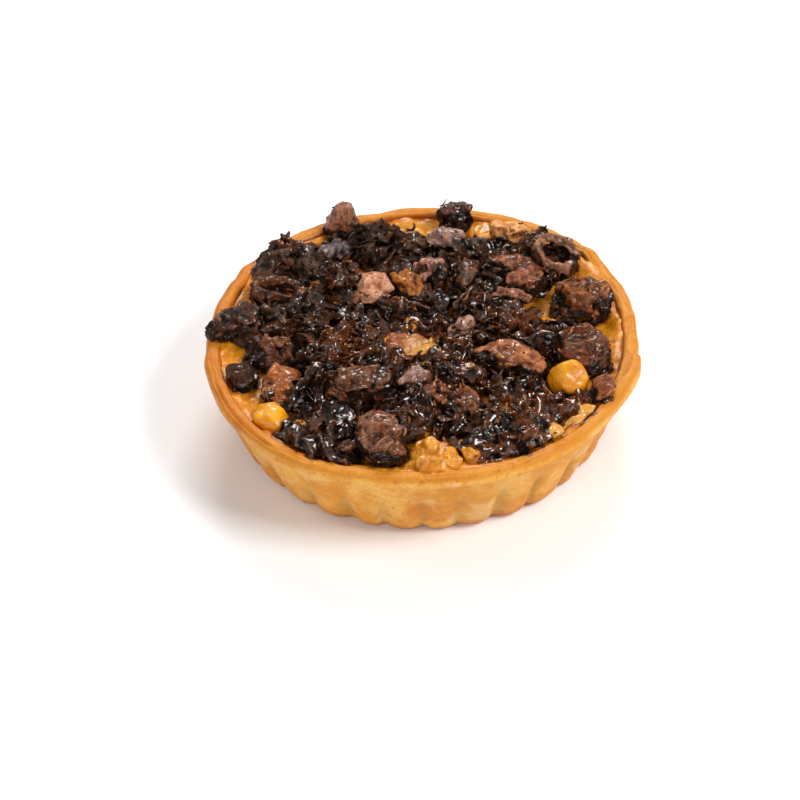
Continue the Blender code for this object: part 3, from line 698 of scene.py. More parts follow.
# The foot's outline: how far inside the base and how high, and the lip's: how far inside the
# rim and how far under the top, all in millimetres.
FOOT = ((2.2, 0), (0.9, 0.25), (0.2, 1.1))
LIP = ((0.15, 3.1), (0, 1.9), (0.5, 0.75), (1.4, 0.1), (3.2, 0.1), (4.3, 0.9), (4.7, 2.0))
LIP_RING = 0.36 * MM


def crust_profile():
    foot = [(BASE_RADIUS - inside * MM, height * MM) for inside, height in FOOT]
    side = [(outer_radius(height * MM), height * MM) for height in (3, 8, 13, 18, 22)]
    lip = [(RIM_RADIUS - inside * MM, CASE_HEIGHT - under * MM) for inside, under in LIP]
    lip.append((inner_radius(20 * MM), 20 * MM))
    under = [(0, 0), (25 * MM, 0), (40 * MM, 0)]
    floor = [(inner_radius(12 * MM), 12 * MM), (inner_radius(FLOOR), FLOOR)]
    floor += [(25 * MM, FLOOR), (0, FLOOR)]
    show = curve_through(foot + side, CRUST_RING) + curve_through(lip, LIP_RING)
    return [Vector(point) for point in under] + show + [Vector(point) for point in floor]


# Dark specks on the outside of the case, and how high up it the rim begins, as a share.
SPECKS = ((-40, -38.6, 20), (23.2, -53.9, 20))
SPECK_RADIUS = 0.55 * MM
RIM_FROM = 0.93
# Where the rim's layers show: share across the rim, its wander, its width, its depth.
LAYERS = ((0.40, 0.12, 0.05, 0.30), (0.66, 0.08, 0.05, 0.34), (0.20, 0.08, 0.04, 0.18))
FOLD_FROM, FOLD_TO = math.radians(-162), math.radians(-126)


def shape_crust(topped):
    form = Form(spun(crust_profile(), CRUST_STEPS))
    names = ("rim", "inside", "line", "crease", "foot", "spot", "syrup")
    marks = {name: np.zeros(form.count) for name in names}
    fine = clouds(form.points, 1.7, 11)
    blister = clouds(form.points, 8.5, 4)
    dough = clouds(form.points, 3.6, 8)
    fade_from = FLUTE_FADE_FROM * 0.75
    for i, point in enumerate(form.points):
        radius = math.hypot(point[0], point[1])
        height = point[2]
        if radius < BASE_RADIUS - 6 * MM and height < FLOOR + 0.1 * MM:
            continue
        angle = math.atan2(point[1], point[0])
        share = height / CASE_HEIGHT
        outside = radius > outer_radius(height) - WALL / 2
        fluted = 1 - smooth((height - fade_from) / (FLUTE_FADE_TO - fade_from))
        at_lip = smooth((height - CASE_HEIGHT + 2 * LIP_HEIGHT) / LIP_HEIGHT)
        top = smooth((height - CASE_HEIGHT + LIP_HEIGHT) / LIP_HEIGHT)
        across = (RIM_RADIUS - radius) / WALL
        radius += out_of_round(angle) * (0.35 + 0.65 * share)
        swerve = 0.03 * round_noise(angle, 8, 2 + height / (16 * MM))
        lobe = 1 - abs(math.sin((angle + swerve) * FLUTES / 2))
        if outside:
            strength = 1 + 0.55 * round_noise(angle, 5, 9.0)
            soft = (0.5 + 0.5 * math.cos((angle + swerve) * FLUTES)) ** 1.6
            radius -= FLUTE_DEPTH * strength * fluted * (0.75 * soft + 0.25 * lobe ** 1.5)
            radius += 0.3 * MM * round_noise(angle, 9, 20 + height / (4 * MM))
            past = angle_between(SPLIT_ANGLE, angle)
            if past > 0:
                radius += SPLIT_STEP * at_lip * (1 - smooth(past / SPLIT_LENGTH))
            body = smooth(height / (3 * MM))
            radius += (0.4 * MM * blister[i] + 0.16 * MM * dough[i] + 0.07 * MM * fine[i]) * body
            # The crease mark paints shade into the flute valleys.
            marks["crease"][i] = soft * fluted * clamp(strength - 0.2)
            marks["foot"][i] = 1 - smooth((height - 0.3 * MM) / (4.5 * MM + 2.5 * MM * blister[i]))
        wave = RIM_WAVE * (0.7 * round_noise(angle, 2.2, 1.0) + 0.5 * round_noise(angle, 7, 2.0))
        flake = FLAKE_HEIGHT * math.exp(-(angle_between(angle, FLAKE_ANGLE) / FLAKE_WIDTH) ** 2)
        height += top * (wave + flake)
        if share > 0.86:
            height += 0.3 * MM * blister[i] + 0.2 * MM * dough[i] + 0.08 * MM * fine[i]
        if share > RIM_FROM:
            mark, depth = 0, 0
            for number, (where, wander, width, drop) in enumerate(LAYERS):
                middle = where + wander * round_noise(angle, 4, 5 + 10 * number)
                broken = smooth(round_noise(angle, 6, 8 + 10 * number) * 2.6 + 0.55)
                layer = broken * math.exp(-((across - middle) / width) ** 2)
                mark, depth = max(mark, layer), max(depth, layer * drop * MM)
            fold = smooth((angle - FOLD_FROM) / 0.12) * smooth((FOLD_TO - angle) / 0.12)
            crack = fold * math.exp(-((across - 0.3 - 0.08 * round_noise(angle, 9, 4)) / 0.06) ** 2)
            height -= max(depth, 0.9 * MM * crack)
            marks["line"][i] = max(0.7 * mark, crack)
            marks["rim"][i] = smooth((share - RIM_FROM) / 0.05) * (1 - smooth((across - 0.75) / 0.2))
        if not outside:
            marks["inside"][i] = smooth((across - 0.76) / 0.16)
            radius += 0.25 * MM * dough[i] + 0.1 * MM * fine[i]
        form.points[i] = (radius * math.cos(angle), radius * math.sin(angle), max(0, height))
    for speck in SPECKS:
        away = np.linalg.norm(form.points - np.array(speck) * MM, axis=1)
        marks["spot"] = np.maximum(marks["spot"], np.exp(-(away / SPECK_RADIUS) ** 2))
    for i, (x, y, z) in enumerate(form.points.tolist()):
        if z > CUSTARD_LEVEL and math.hypot(x, y) < RIM_RADIUS - 1.2 * MM:
            marks["syrup"][i] = 1.1 - topped.find((x, y, 0))[2] / (2.2 * MM)
    form.keep_in_box()
    form.place()
    form.mark(**{name: np.clip(values, 0, 1) for name, values in marks.items()})
    set_down("crust", form.mesh, crust_finish(), "crust", "pastry_case")


# ---- custard

# Where the custard has swollen up between the pieces: x, y, radius, rise, how cheesy it is.
SWELLS = ((-1.8, -6.8, 8.5, 4.6, 0), (-26, -33, 4, 2.2, 1), (3, -48, 8.5, 3.4, 1),
          (33, 5, 5, 1.6, 0), (-45.5, -24, 4.5, 0.9, 0), (-5, 46.5, 9, 1.2, 0.3),
          (41, -38, 4, 1, 0))


def shape_custard(topped):
    rim = inner_radius(CUSTARD_LEVEL) + 2.4 * MM
    rings = round(rim / CUSTARD_RING)
    profile = [Vector((rim * i / rings, CUSTARD_LEVEL)) for i in range(rings + 1)]
    bottom = inner_radius(CUSTARD_BOTTOM) - 0.6 * MM
    profile += [Vector((bottom, CUSTARD_BOTTOM)), Vector((0, CUSTARD_BOTTOM))]
    form = Form(spun(profile, CUSTARD_STEPS))
    edge, swell, melt = (np.zeros(form.count) for _ in range(3))
    lumps = clouds(form.points, 5, 2)
    bubbles = np.maximum(0, cobbles(form.points, 2.6, 5) - 0.35)
    fine = clouds(form.points, 1.3, 6)
    folds = crumpled(drawn_out(form.points, 1.2, 2.0, 3), 3.0, 7)
    for i, point in enumerate(form.points):
        radius = math.hypot(point[0], point[1])
        angle = math.atan2(point[1], point[0])
        if point[2] > CUSTARD_LEVEL - 1 * MM:
            share = radius / rim
            radius += out_of_round(angle) * share * (0.35 + 0.65 * CUSTARD_LEVEL / CASE_HEIGHT)
            x, y = radius * math.cos(angle), radius * math.sin(angle)
            wall = smooth((share - 0.88) / 0.1) ** 1.5 * (1 + 0.6 * round_noise(angle, 6, 14.0))
            height = custard_top(x, y) + 0.3 * MM + 1.6 * MM * wall
            height += 0.7 * MM * lumps[i] + 0.9 * MM * bubbles[i] + 0.25 * MM * fine[i]
            for along, back, reach, rise, cheesy in SWELLS:
                away = math.hypot(x / MM - along, y / MM - back) / reach
                away *= 1 + 0.3 * noise.noise(Vector((x, y, 0)) / (3.2 * MM))
                if away < 2:
                    amount = math.exp(-(away * 1.25) ** 4)
                    height += rise * MM * amount + 1.4 * MM * amount * cheesy * (folds[i] - 0.4)
                    swell[i] = max(swell[i], amount * clamp(rise / 4) * (1 - cheesy))
                    melt[i] = max(melt[i], amount * cheesy)
            form.points[i] = (x, y, height)
            edge[i] = smooth((share - 0.92) / 0.05)
    form.place()
    near = np.array([topped.find((x, y, 0))[2] for x, y, _ in form.points.tolist()])
    form.mark(edge=edge, swell=swell, melt=melt, relief=form.relief(3, 0.12 * MM),
              stain=np.clip(1 - near / (2.6 * MM), 0, 1))
    set_down("custard_filling", form.mesh, custard_finish(), "custard", "custard")


# ---- sausage, cheese

# Each piece: light flesh, dark flesh, char, gloss, fibre turn, fat, edge, lumps, grains, tears.
SAUSAGE = {
    "peak": ((176, 116, 86), (96, 52, 28), 0, 0.4, 2, 0, 0.6, 0.35, 0.1, 4),
    "pink": ((212, 154, 120), (174, 100, 58), 0.05, 0.5, 0.9, 0, 0.4, 0.6, 0, 4),
    "tan": ((180, 106, 30), (114, 54, 4), 0.1, 0.6, 0, 0.1, 0.6, 0.8, 0.1, 5),
    "slab_back": ((172, 134, 122), (116, 84, 70), 0.1, 0.5, 0.3, 0, 0.4, 0.5, 0.2, 3),
    "lump_back": ((190, 140, 118), (106, 64, 40), 0, 0.5, 0, 0.1, 0.4, 0.9, 0.4, 7),
    "sliver": ((116, 90, 72), (54, 32, 20), 0.1, 0.5, 0.3, 0, 0.9, 0.7, 0.1, 4),
    "curl": ((164, 98, 64), (78, 34, 13), 0.1, 0.6, 0, 0, 0.6, 0.4, 0.1, 3),
    "strip": ((168, 112, 84), (94, 44, 22), 0.1, 0.3, 0.2, 0, 0.5, 0.5, 0.1, 2),
    "hollow": ((160, 112, 86), (84, 46, 24), 0.1, 0.6, 0, 0.1, 0.5, 0.6, 0.3, 4),
    "right": ((152, 88, 42), (62, 29, 10), 0.3, 0.7, 0, 0.2, 0.9, 0.9, 0.3, 11),
    "barrel": ((108, 60, 30), (48, 22, 8), 0.25, 0.7, 0, 0.2, 0.9, 0.8, 0.4, 8),
    "leaf": ((164, 96, 60), (110, 52, 24), 0, 0.7, 0, 0, 0.7, 0.4, 0, 1),
    "slab": ((192, 120, 72), (104, 48, 15), 0.15, 0.9, 0, 0.4, 0.6, 0.7, 0.5, 7),
    "long": ((124, 78, 50), (44, 19, 8), 0.3, 0.9, 0.2, 0.05, 0.9, 0.9, 0.1, 9),
    "grey": ((174, 132, 118), (114, 80, 64), 0.15, 0.6, 0.6, 0, 0.6, 0.5, 0.1, 3),
    "rough": ((140, 90, 60), (50, 24, 9), 0.4, 0.9, 0, 0.15, 0.9, 1.3, 0.5, 11),
    "front": ((154, 102, 72), (70, 34, 15), 0.2, 0.8, 1.3, 0, 0.9, 1, 0.1, 12),
    "amber": ((184, 108, 52), (126, 54, 8), -0.1, 0.9, 0, 0.1, 0.6, 0.6, 0, 4),
    "left": ((122, 66, 34), (62, 26, 9), 0.3, 0.8, 0, 0, 0.4, 1, 0.2, 7),
    "cube": ((56, 28, 14), (26, 10, 4), 0.3, 0.1, 2, 0, 0.2, 0.4, 0.1, 4),
    "rim": ((70, 50, 38), (28, 16, 10), 0.3, 0.5, 0, 0, 0.8, 1.5, 0.4, 10),
    "cup": ((104, 56, 34), (26, 10, 4), 0.2, 0.6, 0, 0, 1.3, 0.4, 0.2, 2),
    "flat": ((124, 108, 104), (70, 54, 48), 0.1, 0.5, 0, 0, 0.3, 0.9, 0, 5),
    "black": ((104, 70, 56), (46, 23, 14), 0.4, 0.7, 0, 0, 0.35, 1.2, 0.5, 9),
    "crumbly": ((240, 172, 104), (182, 108, 48), -0.7, 0.4, 0, 0.2, 0.6, 1.1, 0.5, 8),
    "middle": ((192, 146, 126), (116, 74, 52), -0.1, 0.6, 0, 0, 0.5, 0.8, 0.2, 5),
    "grain": ((178, 112, 70), (118, 52, 14), 0, 0.7, 0, 0.3, 0.5, 1.1, 0.5, 6),
    "small": ((116, 70, 40), (56, 26, 9), 0.2, 0.5, 0, 0.1, 0.5, 0.8, 0.2, 3),
}
GRAINS = 8  # which of those numbers the grains are
# Pieces dressed without the dent in their solid, and open ones that get no knife cuts.
FILLED = ("right", "barrel", "front", "black")
OPEN = ("cup", "hollow", "curl", "peak")
SMOOTH_CHEESE = ("cheese_right", "cheese_left")
# What share of a piece a knife cut leaves whole, how flat it cuts, and how steep a torn layer is.
KNIFE_SHARE = 0.88
KNIFE_FLATNESS = 0.95
CLIFF = 0.25


def settle(form):
    """Brings the underside down into the custard and gives each point's height over it."""
    level = np.array([custard_top(x, y) for x, y, _ in form.points])
    over = form.points[:, 2] - level
    sunk = np.array([smooth(1 - (height / MM - SINK_WHOLLY) / SINK_FADE) for height in over])
    form.points[:, 2] -= SINK * sunk
    return over


def tear(form, count, draw, reach):
    """Cuts short grooves and dents where the flesh has torn."""
    normals = form.normals()
    facing = np.flatnonzero(normals[:, 2] > -0.3)
    for _ in range(count):
        pick = facing[draw.randrange(len(facing))]
        middle, into = form.points[pick], normals[pick]
        grain_way = Vector(into).orthogonal()
        grain_way.rotate(Matrix.Rotation(draw.uniform(0, math.pi), 3, Vector(into)))
        away = form.points - middle
        along = away @ np.array(grain_way)
        across = away @ np.array(Vector(into).cross(grain_way))
        length, width = draw.uniform(1.4, 3.6) * MM, draw.uniform(0.45, 1.3) * MM
        close = np.exp(-(along / length) ** 2 - (across / width) ** 2)
        close *= np.exp(-((away @ into) / (2 * MM)) ** 2)
        form.points = form.points - close[:, None] * into * (reach * MM * draw.uniform(0.5, 1.2))


def sliced(form, draw, cuts):
    """Flattens the form where a knife has gone, so it has faces and edges."""
    for _ in range(cuts):
        way = Vector((draw.gauss(0, 1), draw.gauss(0, 1), abs(draw.gauss(0, 0.9))))
        way = np.array(way.normalized())
        reach = form.points @ way
        past = np.maximum(reach - np.quantile(reach, KNIFE_SHARE), 0)
        form.points = form.points - np.outer(past * KNIFE_FLATNESS, way)


def torn_layers(form, size, step, seed):
    """Raises patches by a small sharp step, as where a skin has lifted or broken off."""
    field = clouds(form.points, size, seed)
    cliff = 1 / (1 + np.exp(-np.clip(field * size / CLIFF, -30, 30)))
    form.push(step * (cliff - 0.5))


def finish_marks(form, over, depth):
    form.keep_in_box()
    form.place()
    # The finishes read relief and broad to paint shade into hollows and light onto swellings.
    form.mark(relief=form.relief(5, depth), broad=form.relief(40, 2.6 * depth),
              foot=np.clip(1 - over / (2.6 * MM), 0, 1))


def dress_sausage(name, seed):
    light, dark, char, gloss, fibre, fat, edge, lumpy, grainy, tears = SAUSAGE[name]
    node = "sausage_" + name
    draw = random.Random(node)
    form = evenly(node, solid_of(node, name in FILLED), SAUSAGE_GRAIN)
    form.points = form.softened(form.points, 2)
    over = settle(form)
    sliced(form, draw, 0 if name in OPEN else 3 + round(6 * grainy))
    form.push(np.full(form.count, 0.25))
    form.warp(6, 0.7 * lumpy, seed)
    tear(form, tears, draw, 1.3 * lumpy)
    torn_layers(form, 5, 0.8 * lumpy, seed + 3)
    rise = over / np.clip(over.max(), 1 * MM, 8 * MM)
    upright = form.softened(form.normals()[:, 2], 8)
    # Painted shade: the low parts and steep sides go into the burnt mask and are laid black like char.
    side = np.clip(1.2 - 0.8 * rise - 0.6 * upright, 0, 1)
    side *= clamp(1.0 + 0.6 * char)
    burnt = (side + 0.6 * clouds(form.points, 5, seed + 11) + 0.8 * (char - 0.3)) / 0.5
    burnt = np.clip(burnt, 0, 1)
    strands = drawn_out(form.points, draw.uniform(0, math.pi), 3.5, seed + 20)
    form.push(burnt * 0.9 * (crumpled(strands, 2.8, seed + 4) - 0.45))
    form.push(0.35 * lumpy * (wrinkled(strands, 3.4, seed + 5) - 0.45))
    form.push(0.6 * lumpy * (crumpled(strands, 2.6, seed + 7) - 0.45))
    torn_layers(form, 2.8, 0.25, seed + 6)
    form.push(0.25 * grainy * (cobbles(form.points, 1.3, seed) - 0.45))
    form.push(0.05 * clouds(form.points, 0.75, seed))
    finish_marks(form, over, 0.3 * MM)
    form.mark(burnt=burnt)
    finish = sausage_finish(node + "_finish", light, dark, gloss, fibre, fat, edge)
    set_down(node + "_piece", form.mesh, finish, "sausage", node)
    return form, over


def dress_cheese(node, seed, finish, frothy):
    form = evenly(node, solid_of(node), CHEESE_GRAIN)
    form.points = form.softened(form.points, round(14 - 10 * frothy))
    over = settle(form)
    sliced(form, random.Random(node), round(6 * frothy))
    torn_layers(form, 3.4, 0.6 * frothy, seed + 8)
    form.warp(7, 0.8, seed)
    form.push(0.3 + 0.3 * clouds(form.points, 4.2, seed))
    torn_layers(form, 5, 0.25, seed + 3)
    strands = drawn_out(form.points, 1.2, 2.6, seed + 20)
    form.push(0.7 * frothy * (crumpled(strands, 4.2, seed + 5) - 0.4))
    form.push(0.25 * frothy * (wrinkled(strands, 1.9, seed + 6) - 0.5))
    form.push((0.03 + 0.13 * frothy) * clouds(form.points, 1.0, seed))
    finish_marks(form, over, 0.25 * MM)
    # The side mark lays painted shade on the cheese's steep sides.
    side = np.clip(1 - form.softened(form.normals()[:, 2], 8), 0, 1)
    form.mark(side=side, baked=np.full(form.count, frothy))
    set_down(node + "_lump", form.mesh, finish, "cheese", node)


# ---- onion

# Each kind of shred: how many shapes; their length, width, bend, twist, cup and ruffle, where
# one number is a span to either side of 0; the seed, the steps along and across, the thickness.
THICK_PETALS = (24, ((4.5, 8), (2.2, 4.4), 2.6, 1.6, 1.3, (0.5, 1.2)), 0, 8, 5, (0.6, 0.85))
SHREDS = {
    "onion_petals": (16, ((4.5, 9), (2.0, 4.2), 3.4, 1.8, 1.4, (0.6, 1.3)), 0, 9, 5),
    "onion_curls": (12, ((8, 13), (1.6, 3.0), (3.6, 5.6), 1.0, 0.8, (0.5, 1.1)), 200, 14, 3),
    "onion_leaves": (10, ((8.5, 13), (4.2, 6.8), 2.6, 1.2, 1.6, (0.5, 1.2)), 300, 14, 9),
    "onion_ribbons": (14, ((5, 9), (0.8, 1.5), 3.4, 2.6, 0.5, (0.3, 0.8)), 90, 10, 2),
    "onion_bits": (12, ((1.4, 2.8), (0.6, 1.4), 3.2, 1.5, 0.4, (0.2, 0.5)), 50, 3, 3),
    "slivers": (8, ((3, 5.5), (0.5, 0.9), 2.4, 2, None, (0.1, 0.3)), 400, 5, 2, 0.2),
}
# Loose pieces on the heaps: how many to a square millimetre, the steepest slope they lie on,
# then how far they lift and lean, and their size.
ON_HEAPS = {
    "onion_leaves": (0.02, 0.4, 0.5, 0.25, (0.7, 1.15)),
    "onion_curls": (0.01, 0.4, 0.9, 0.5, (0.5, 0.9)),
    "onion_petals": (0.015, 0.2, 0.7, 0.4, (0.6, 1.2)),
    "onion_ribbons": (0.02, 0.2, 0.4, 0.3, (0.6, 1.1)),
    "onion_bits": (0.02, 0.0, 0.1, 0.5, (0.6, 1.1)),
    "burnt_crumbs": (0.02, 0.0, 0.1, 1.0, (0.4, 1.1)),
}
# Loose pieces round the foot of each sausage piece: how many at most, the flattest slope they
# lie on, then lift, lean and size.
ROUND_SAUSAGE = {
    "onion_petals": (13, 0.6, 0.3, 0.5, (0.7, 1.2)),
    "onion_bits": (10, 0.6, 0.2, 0.5, (0.6, 1.2)),
    "burnt_crumbs": (12, 0.8, 0.1, 1.0, (0.4, 1.1)),
}
SKIRT_TRIES = 60
ONION_REACH = 49 * MM
CROWN_CLEAR = 1.6 * MM


def fused_heap(node, draw, petals, lumps):
    """The heap's core grown together with thick petals and lumps, and which of them each point is on."""
    core = solid_of(node)
    faces = [face for face in core.faces if face.normal.z > -0.05]
    weights = [face.calc_area() for face in faces]
    area = sum(weights) / MM ** 2
    spots, tones = [], []
    shape = bmesh.new()
    for kinds, share in ((petals, 0.022), (lumps, 0.003)):
        for face in draw.choices(faces, weights, k=round(area * share)):
            corners = [vert.co for vert in face.verts]
            mixed = [draw.expovariate(1) for _ in corners]
            place = sum((corner * part for corner, part in zip(corners, mixed)), Vector()) / sum(mixed)
            matrix = laid(place, face.normal, draw, 0.3, 0.35, (0.7, 1.2))
            tone = draw.uniform(-1, 1)
            if bare(place):
                continue
            mesh = draw.choice(kinds)
            known = len(shape.verts)
            shape.from_mesh(mesh)
            shape.verts.ensure_lookup_table()
            added = shape.verts[known:]
            bmesh.ops.transform(shape, matrix=matrix, verts=added)
            spots += [vert.co.copy() for vert in added[::2]]
            tones += [tone] * len(added[::2])
    whole = meshed("core", core)
    shape.from_mesh(whole)
    bpy.data.meshes.remove(whole)
    return evenly(node, shape, ONION_GRAIN), spots, tones


def laid(place, normal, draw, lift, lean, shrink):
    """A place on a surface for something that lies on it, leaning by chance."""
    up = normal + Vector(draw.gauss(0, lean) for _ in range(3))
    up.z = max(up.z, 0.4)
    up.normalize()
    turn = up.to_track_quat("Z", "Y").to_matrix().to_4x4()
    turn = turn @ Matrix.Rotation(draw.uniform(0, math.tau), 4, "Z")
    offset = normal * (lift * MM * draw.uniform(-0.4, 1.2))
    return Matrix.Translation(place + offset) @ turn @ Matrix.Scale(draw.uniform(*shrink), 4)


def dress_heap(node, seed, finish, draw, petals, lumps):
    form, spots, tones = fused_heap(node, draw, petals, lumps)
    tree = tree_of(spots)
    found = [tree.find(point) for point in form.points.tolist()]
    tone = np.array([tones[i] if away < 0.9 * MM else -0.3 for _, i, away in found])
    form.points = form.softened(form.points, 6)
    over = settle(form)
    form.warp(7, 1.0, seed)
    strands = drawn_out(form.points, draw.uniform(0, math.pi), 3.2, seed + 20)
    sheets = np.clip(0.5 + 2.2 * clouds(form.points, 9, seed + 2), 0, 1)
    cover, cream = run_over(form.points)
    kept = 1 - 0.75 * cover
    form.push(1.6 * kept * (crumpled(strands, 5.5, seed + 4) - 0.5))
    form.push(1.3 * kept * sheets * (layer_edges(strands, 8, 3.0, seed) - 0.3))
    form.push(0.45 * kept * (crumpled(strands, 2.6, seed + 5) - 0.45))
    form.push(0.1 * clouds(form.points, 0.9, seed))
    form.push(0.5 * cover * (cobbles(form.points, 2.2, seed) - 0.4))
    away = np.array([crowns.find(point)[2] for point in form.points.tolist()])
    form.mark(cover=cover, cream=cream, fleshy=np.clip(1.15 - away / (5 * MM), 0, 1))
    form.points = form.softened(form.points, 1)
    finish_marks(form, over, 0.3 * MM)
    form.mark(tone=form.softened(tone, 2))
    set_down(node + "_core", form.mesh, finish, "burnt_onion", node)
    return form


def shred(length, width, bend, twist, cup, ruffle, thick, seed, steps, rows):
    """A thin curved piece of onion with round ends and a wavy edge, closed."""
    shape = bmesh.new()
    bmesh.ops.create_grid(shape, x_segments=steps, y_segments=rows, size=1)
    for vert in shape.verts:
        x, y = vert.co.x, vert.co.y
        along = x * math.sqrt(1 - 0.42 * y * y)
        across = y * math.sqrt(1 - 0.42 * x * x)
        ragged = 1 + 0.3 * noise.noise(Vector((along * 1.6, across * 1.6, seed)))
        rim = max(abs(along), abs(across)) ** 2
        wave = noise.noise(Vector((along * 2.6, across * 2.6, seed + 5)))
        turn = bend * along / 2
        if abs(bend) > 0.1:
            reach = length / bend
            far, rise = reach * math.sin(turn), reach * (1 - math.cos(turn))
        else:
            far, rise = length / 2 * along, 0
        sway = noise.noise(Vector((along * 1.2, 0, seed + 9)))
        side = width / 2 * across * ragged + width * 0.3 * sway
        lift = cup * across * across + ruffle * wave * (0.4 + rim)
        swing = twist * along / 2
        vert.co = (far * ragged, side * math.cos(swing) - lift * math.sin(swing),
                   rise + side * math.sin(swing) + lift * math.cos(swing))
    bmesh.ops.solidify(shape, geom=shape.faces[:], thickness=thick)
    bmesh.ops.recalc_face_normals(shape, faces=shape.faces)
    return meshed("shred", shape)


def drawn(draw, span):
    """A number from a span by chance: its two ends, how far it goes either side of 0, or None."""
    if span is None:
        return 0
    return draw.uniform(*span) if isinstance(span, tuple) else draw.uniform(-span, span)


def shreds(draw, count, spans, seed, steps, rows, thick=0.28):
    """So many shreds of one kind, their measures drawn in millimetres."""
    made = []
    for k in range(count):
        length, width, bend, twist, cup, ruffle = (drawn(draw, span) for span in spans)
        deep = drawn(draw, thick) if isinstance(thick, tuple) else thick
        made.append(shred(length * MM, width * MM, bend, twist, cup * MM, ruffle * MM, deep * MM,
                          seed + 3.3 * k, steps, rows))
    return made


def crumb(seed, radius, squash, subdivisions=1):
    """A small uneven lump."""
    shape = bmesh.new()
    bmesh.ops.create_icosphere(shape, subdivisions=subdivisions, radius=radius)
    for vert in shape.verts:
        vert.co *= 1 + 0.75 * noise.noise(vert.co / radius + Vector((seed, 0, 0)))
        vert.co.z *= squash
    return meshed("crumb", shape)


def kind_of(mesh):
    """A small shape's points and its faces."""
    flat = np.empty(len(mesh.vertices) * 3)
    mesh.vertices.foreach_get("co", flat)
    faces = [list(face.vertices) for face in mesh.polygons]
    bpy.data.meshes.remove(mesh)
    return flat.reshape(-1, 3), np.array(faces)


def scattered(name, kinds, places, finish):
    """One piece joined from many copies of the kinds, each at its own place."""
    points, faces, tone, shift = [], [], [], 0
    for kind, matrix, own_tone in places:
        form, loops = kinds[kind]
        points.append(form @ np.array(matrix.to_3x3()).T + np.array(matrix.translation))
        faces.append(loops + shift)
        tone.append(np.full(len(form), own_tone))
        shift += len(form)
    mesh = bpy.data.meshes.new(name)
    mesh.from_pydata(np.concatenate(points).tolist(), [], np.concatenate(faces).tolist())
    form = Form(mesh)
    form.keep_in_box()
    form.place()
    form.mark(tone=np.concatenate(tone), relief=form.relief(2, 0.3 * MM), foot=np.zeros(form.count))
    set_down(name, mesh, finish, "burnt_onion")


# Where custard shows bare or has run over the onion: x, y, radius, how creamy it is.
RUNNY = (
    (-1.5, -7, 6.5, 1), (-6.5, -4.5, 4.5, 0.2), (-3.5, 2.9, 2.6, 0.1), (0.6, -17.2, 1.8, 0),
    (12.7, -16, 1.8, 0), (-34.2, -33.5, 1.6, 0.2), (-4.3, -33.5, 1.8, 0), (-6.3, 15.2, 2.2, 0.2),
    (32.2, 15.2, 3, 0.3), (34.6, 6.3, 3.6, 0.4), (36.5, -42, 4, 1), (40.3, -37.6, 4, 1),
    (44, -33.5, 3.4, 0.8), (-6.6, 48.6, 4.5, 0.4), (13.7, 42.3, 3.6, 0.3), (19, 49.5, 4, 0.5),
    (49, 32, 5.5, 0.5), (51, 7.6, 5.5, 0.5), (-31.9, -39.1, 2, 0), (2.5, -43, 2.6, 0.4),
    (12, -51, 3.5, 0.1), (-46, -14, 3, 0.4), (-42.7, -23.1, 3.4, 0.4), (-40, -35, 4, 0.4),
)
# Where cheese or flesh is to stay clear of loose onion: x, y, radius.
CLEAR = (
    (39, -20.8, 5.5), (2.5, -49, 8), (-40, -35, 5), (46, 27, 7), (17, 48, 6), (-14, 17.5, 5),
    (-40.8, 15.6, 4), (37.2, 31.2, 4),
)


def run_over(points):
    """How far custard has run over each point, and how creamy it is there."""
    ragged = clouds(points, 2.4, 33)
    cover, cream = np.zeros(len(points)), np.zeros(len(points))
    for x, y, reach, creamy in RUNNY:
        away = np.hypot(points[:, 0] / MM - x, points[:, 1] / MM - y) / reach + 0.35 * ragged
        amount = np.clip((1.15 - away) / 0.5, 0, 1) * clamp(0.35 + reach / 6)
        cover = np.maximum(cover, amount)
        cream = np.maximum(cream, amount * creamy)
    return cover, cream


def bare(place):
    """Whether a place is to stay clear: on bare custard or cheese, or high on a sausage piece."""
    spots = CLEAR + tuple(spot[:3] for spot in RUNNY)
    if any(math.hypot(place.x / MM - x, place.y / MM - y) < reach for x, y, reach in spots):
        return True
    return crowns.find(place)[2] < CROWN_CLEAR


def flaked(mesh, count, draw, kinds):
    """Places for torn flakes anywhere on a form's top and sides."""
    faces = [face for face in mesh.polygons if face.normal.z > -0.2]
    made = []
    for face in draw.choices(faces, [face.area for face in faces], k=count):
        kind = draw.randrange(kinds)
        matrix = laid(face.center, face.normal, draw, 0.15, 0.5, (0.4, 0.9))
        made.append((kind, matrix, draw.uniform(-1, 1)))
    return made


def strewn(mesh, count, draw, lift, lean, shrink, lowest, highest, kinds):
    """Places on a form's faces, by chance, for that many loose pieces."""
    faces = [face for face in mesh.polygons if lowest < face.normal.z < highest]
    weights = [face.area for face in faces]
    made = []
    for face in draw.choices(faces, weights, k=count):
        matrix = laid(face.center, face.normal, draw, lift, lean, shrink)
        kind, tone = draw.randrange(kinds), draw.uniform(-1, 1)
        if not bare(face.center) and math.hypot(face.center.x, face.center.y) < ONION_REACH:
            made.append((kind, matrix, tone))
    return made


# ---- the quiche

# Up to what height over the custard a sausage piece stains it.
FOOTPRINT = 2.5 * MM
# How many flakes to a square millimetre: on flesh, more of them on grainy flesh, on onion.
FLESH_FLAKES, GRAINY_FLAKES, ONION_FLAKES = 0.02, 0.05, 0.035

footprints, skirts, crown_points = [], [], []
for number, name in enumerate(sorted(SAUSAGE)):
    form, over = dress_sausage(name, 10.0 + 3.7 * number)
    footprints.append(form.points[over < FOOTPRINT][::4, :2])
    skirts.append((form.mesh, CUSTARD_LEVEL + 0.5 * over.max()))
    crown_points.append(form.points[over > 0.5 * over.max()][::6])
crowns = tree_of(np.concatenate(crown_points))

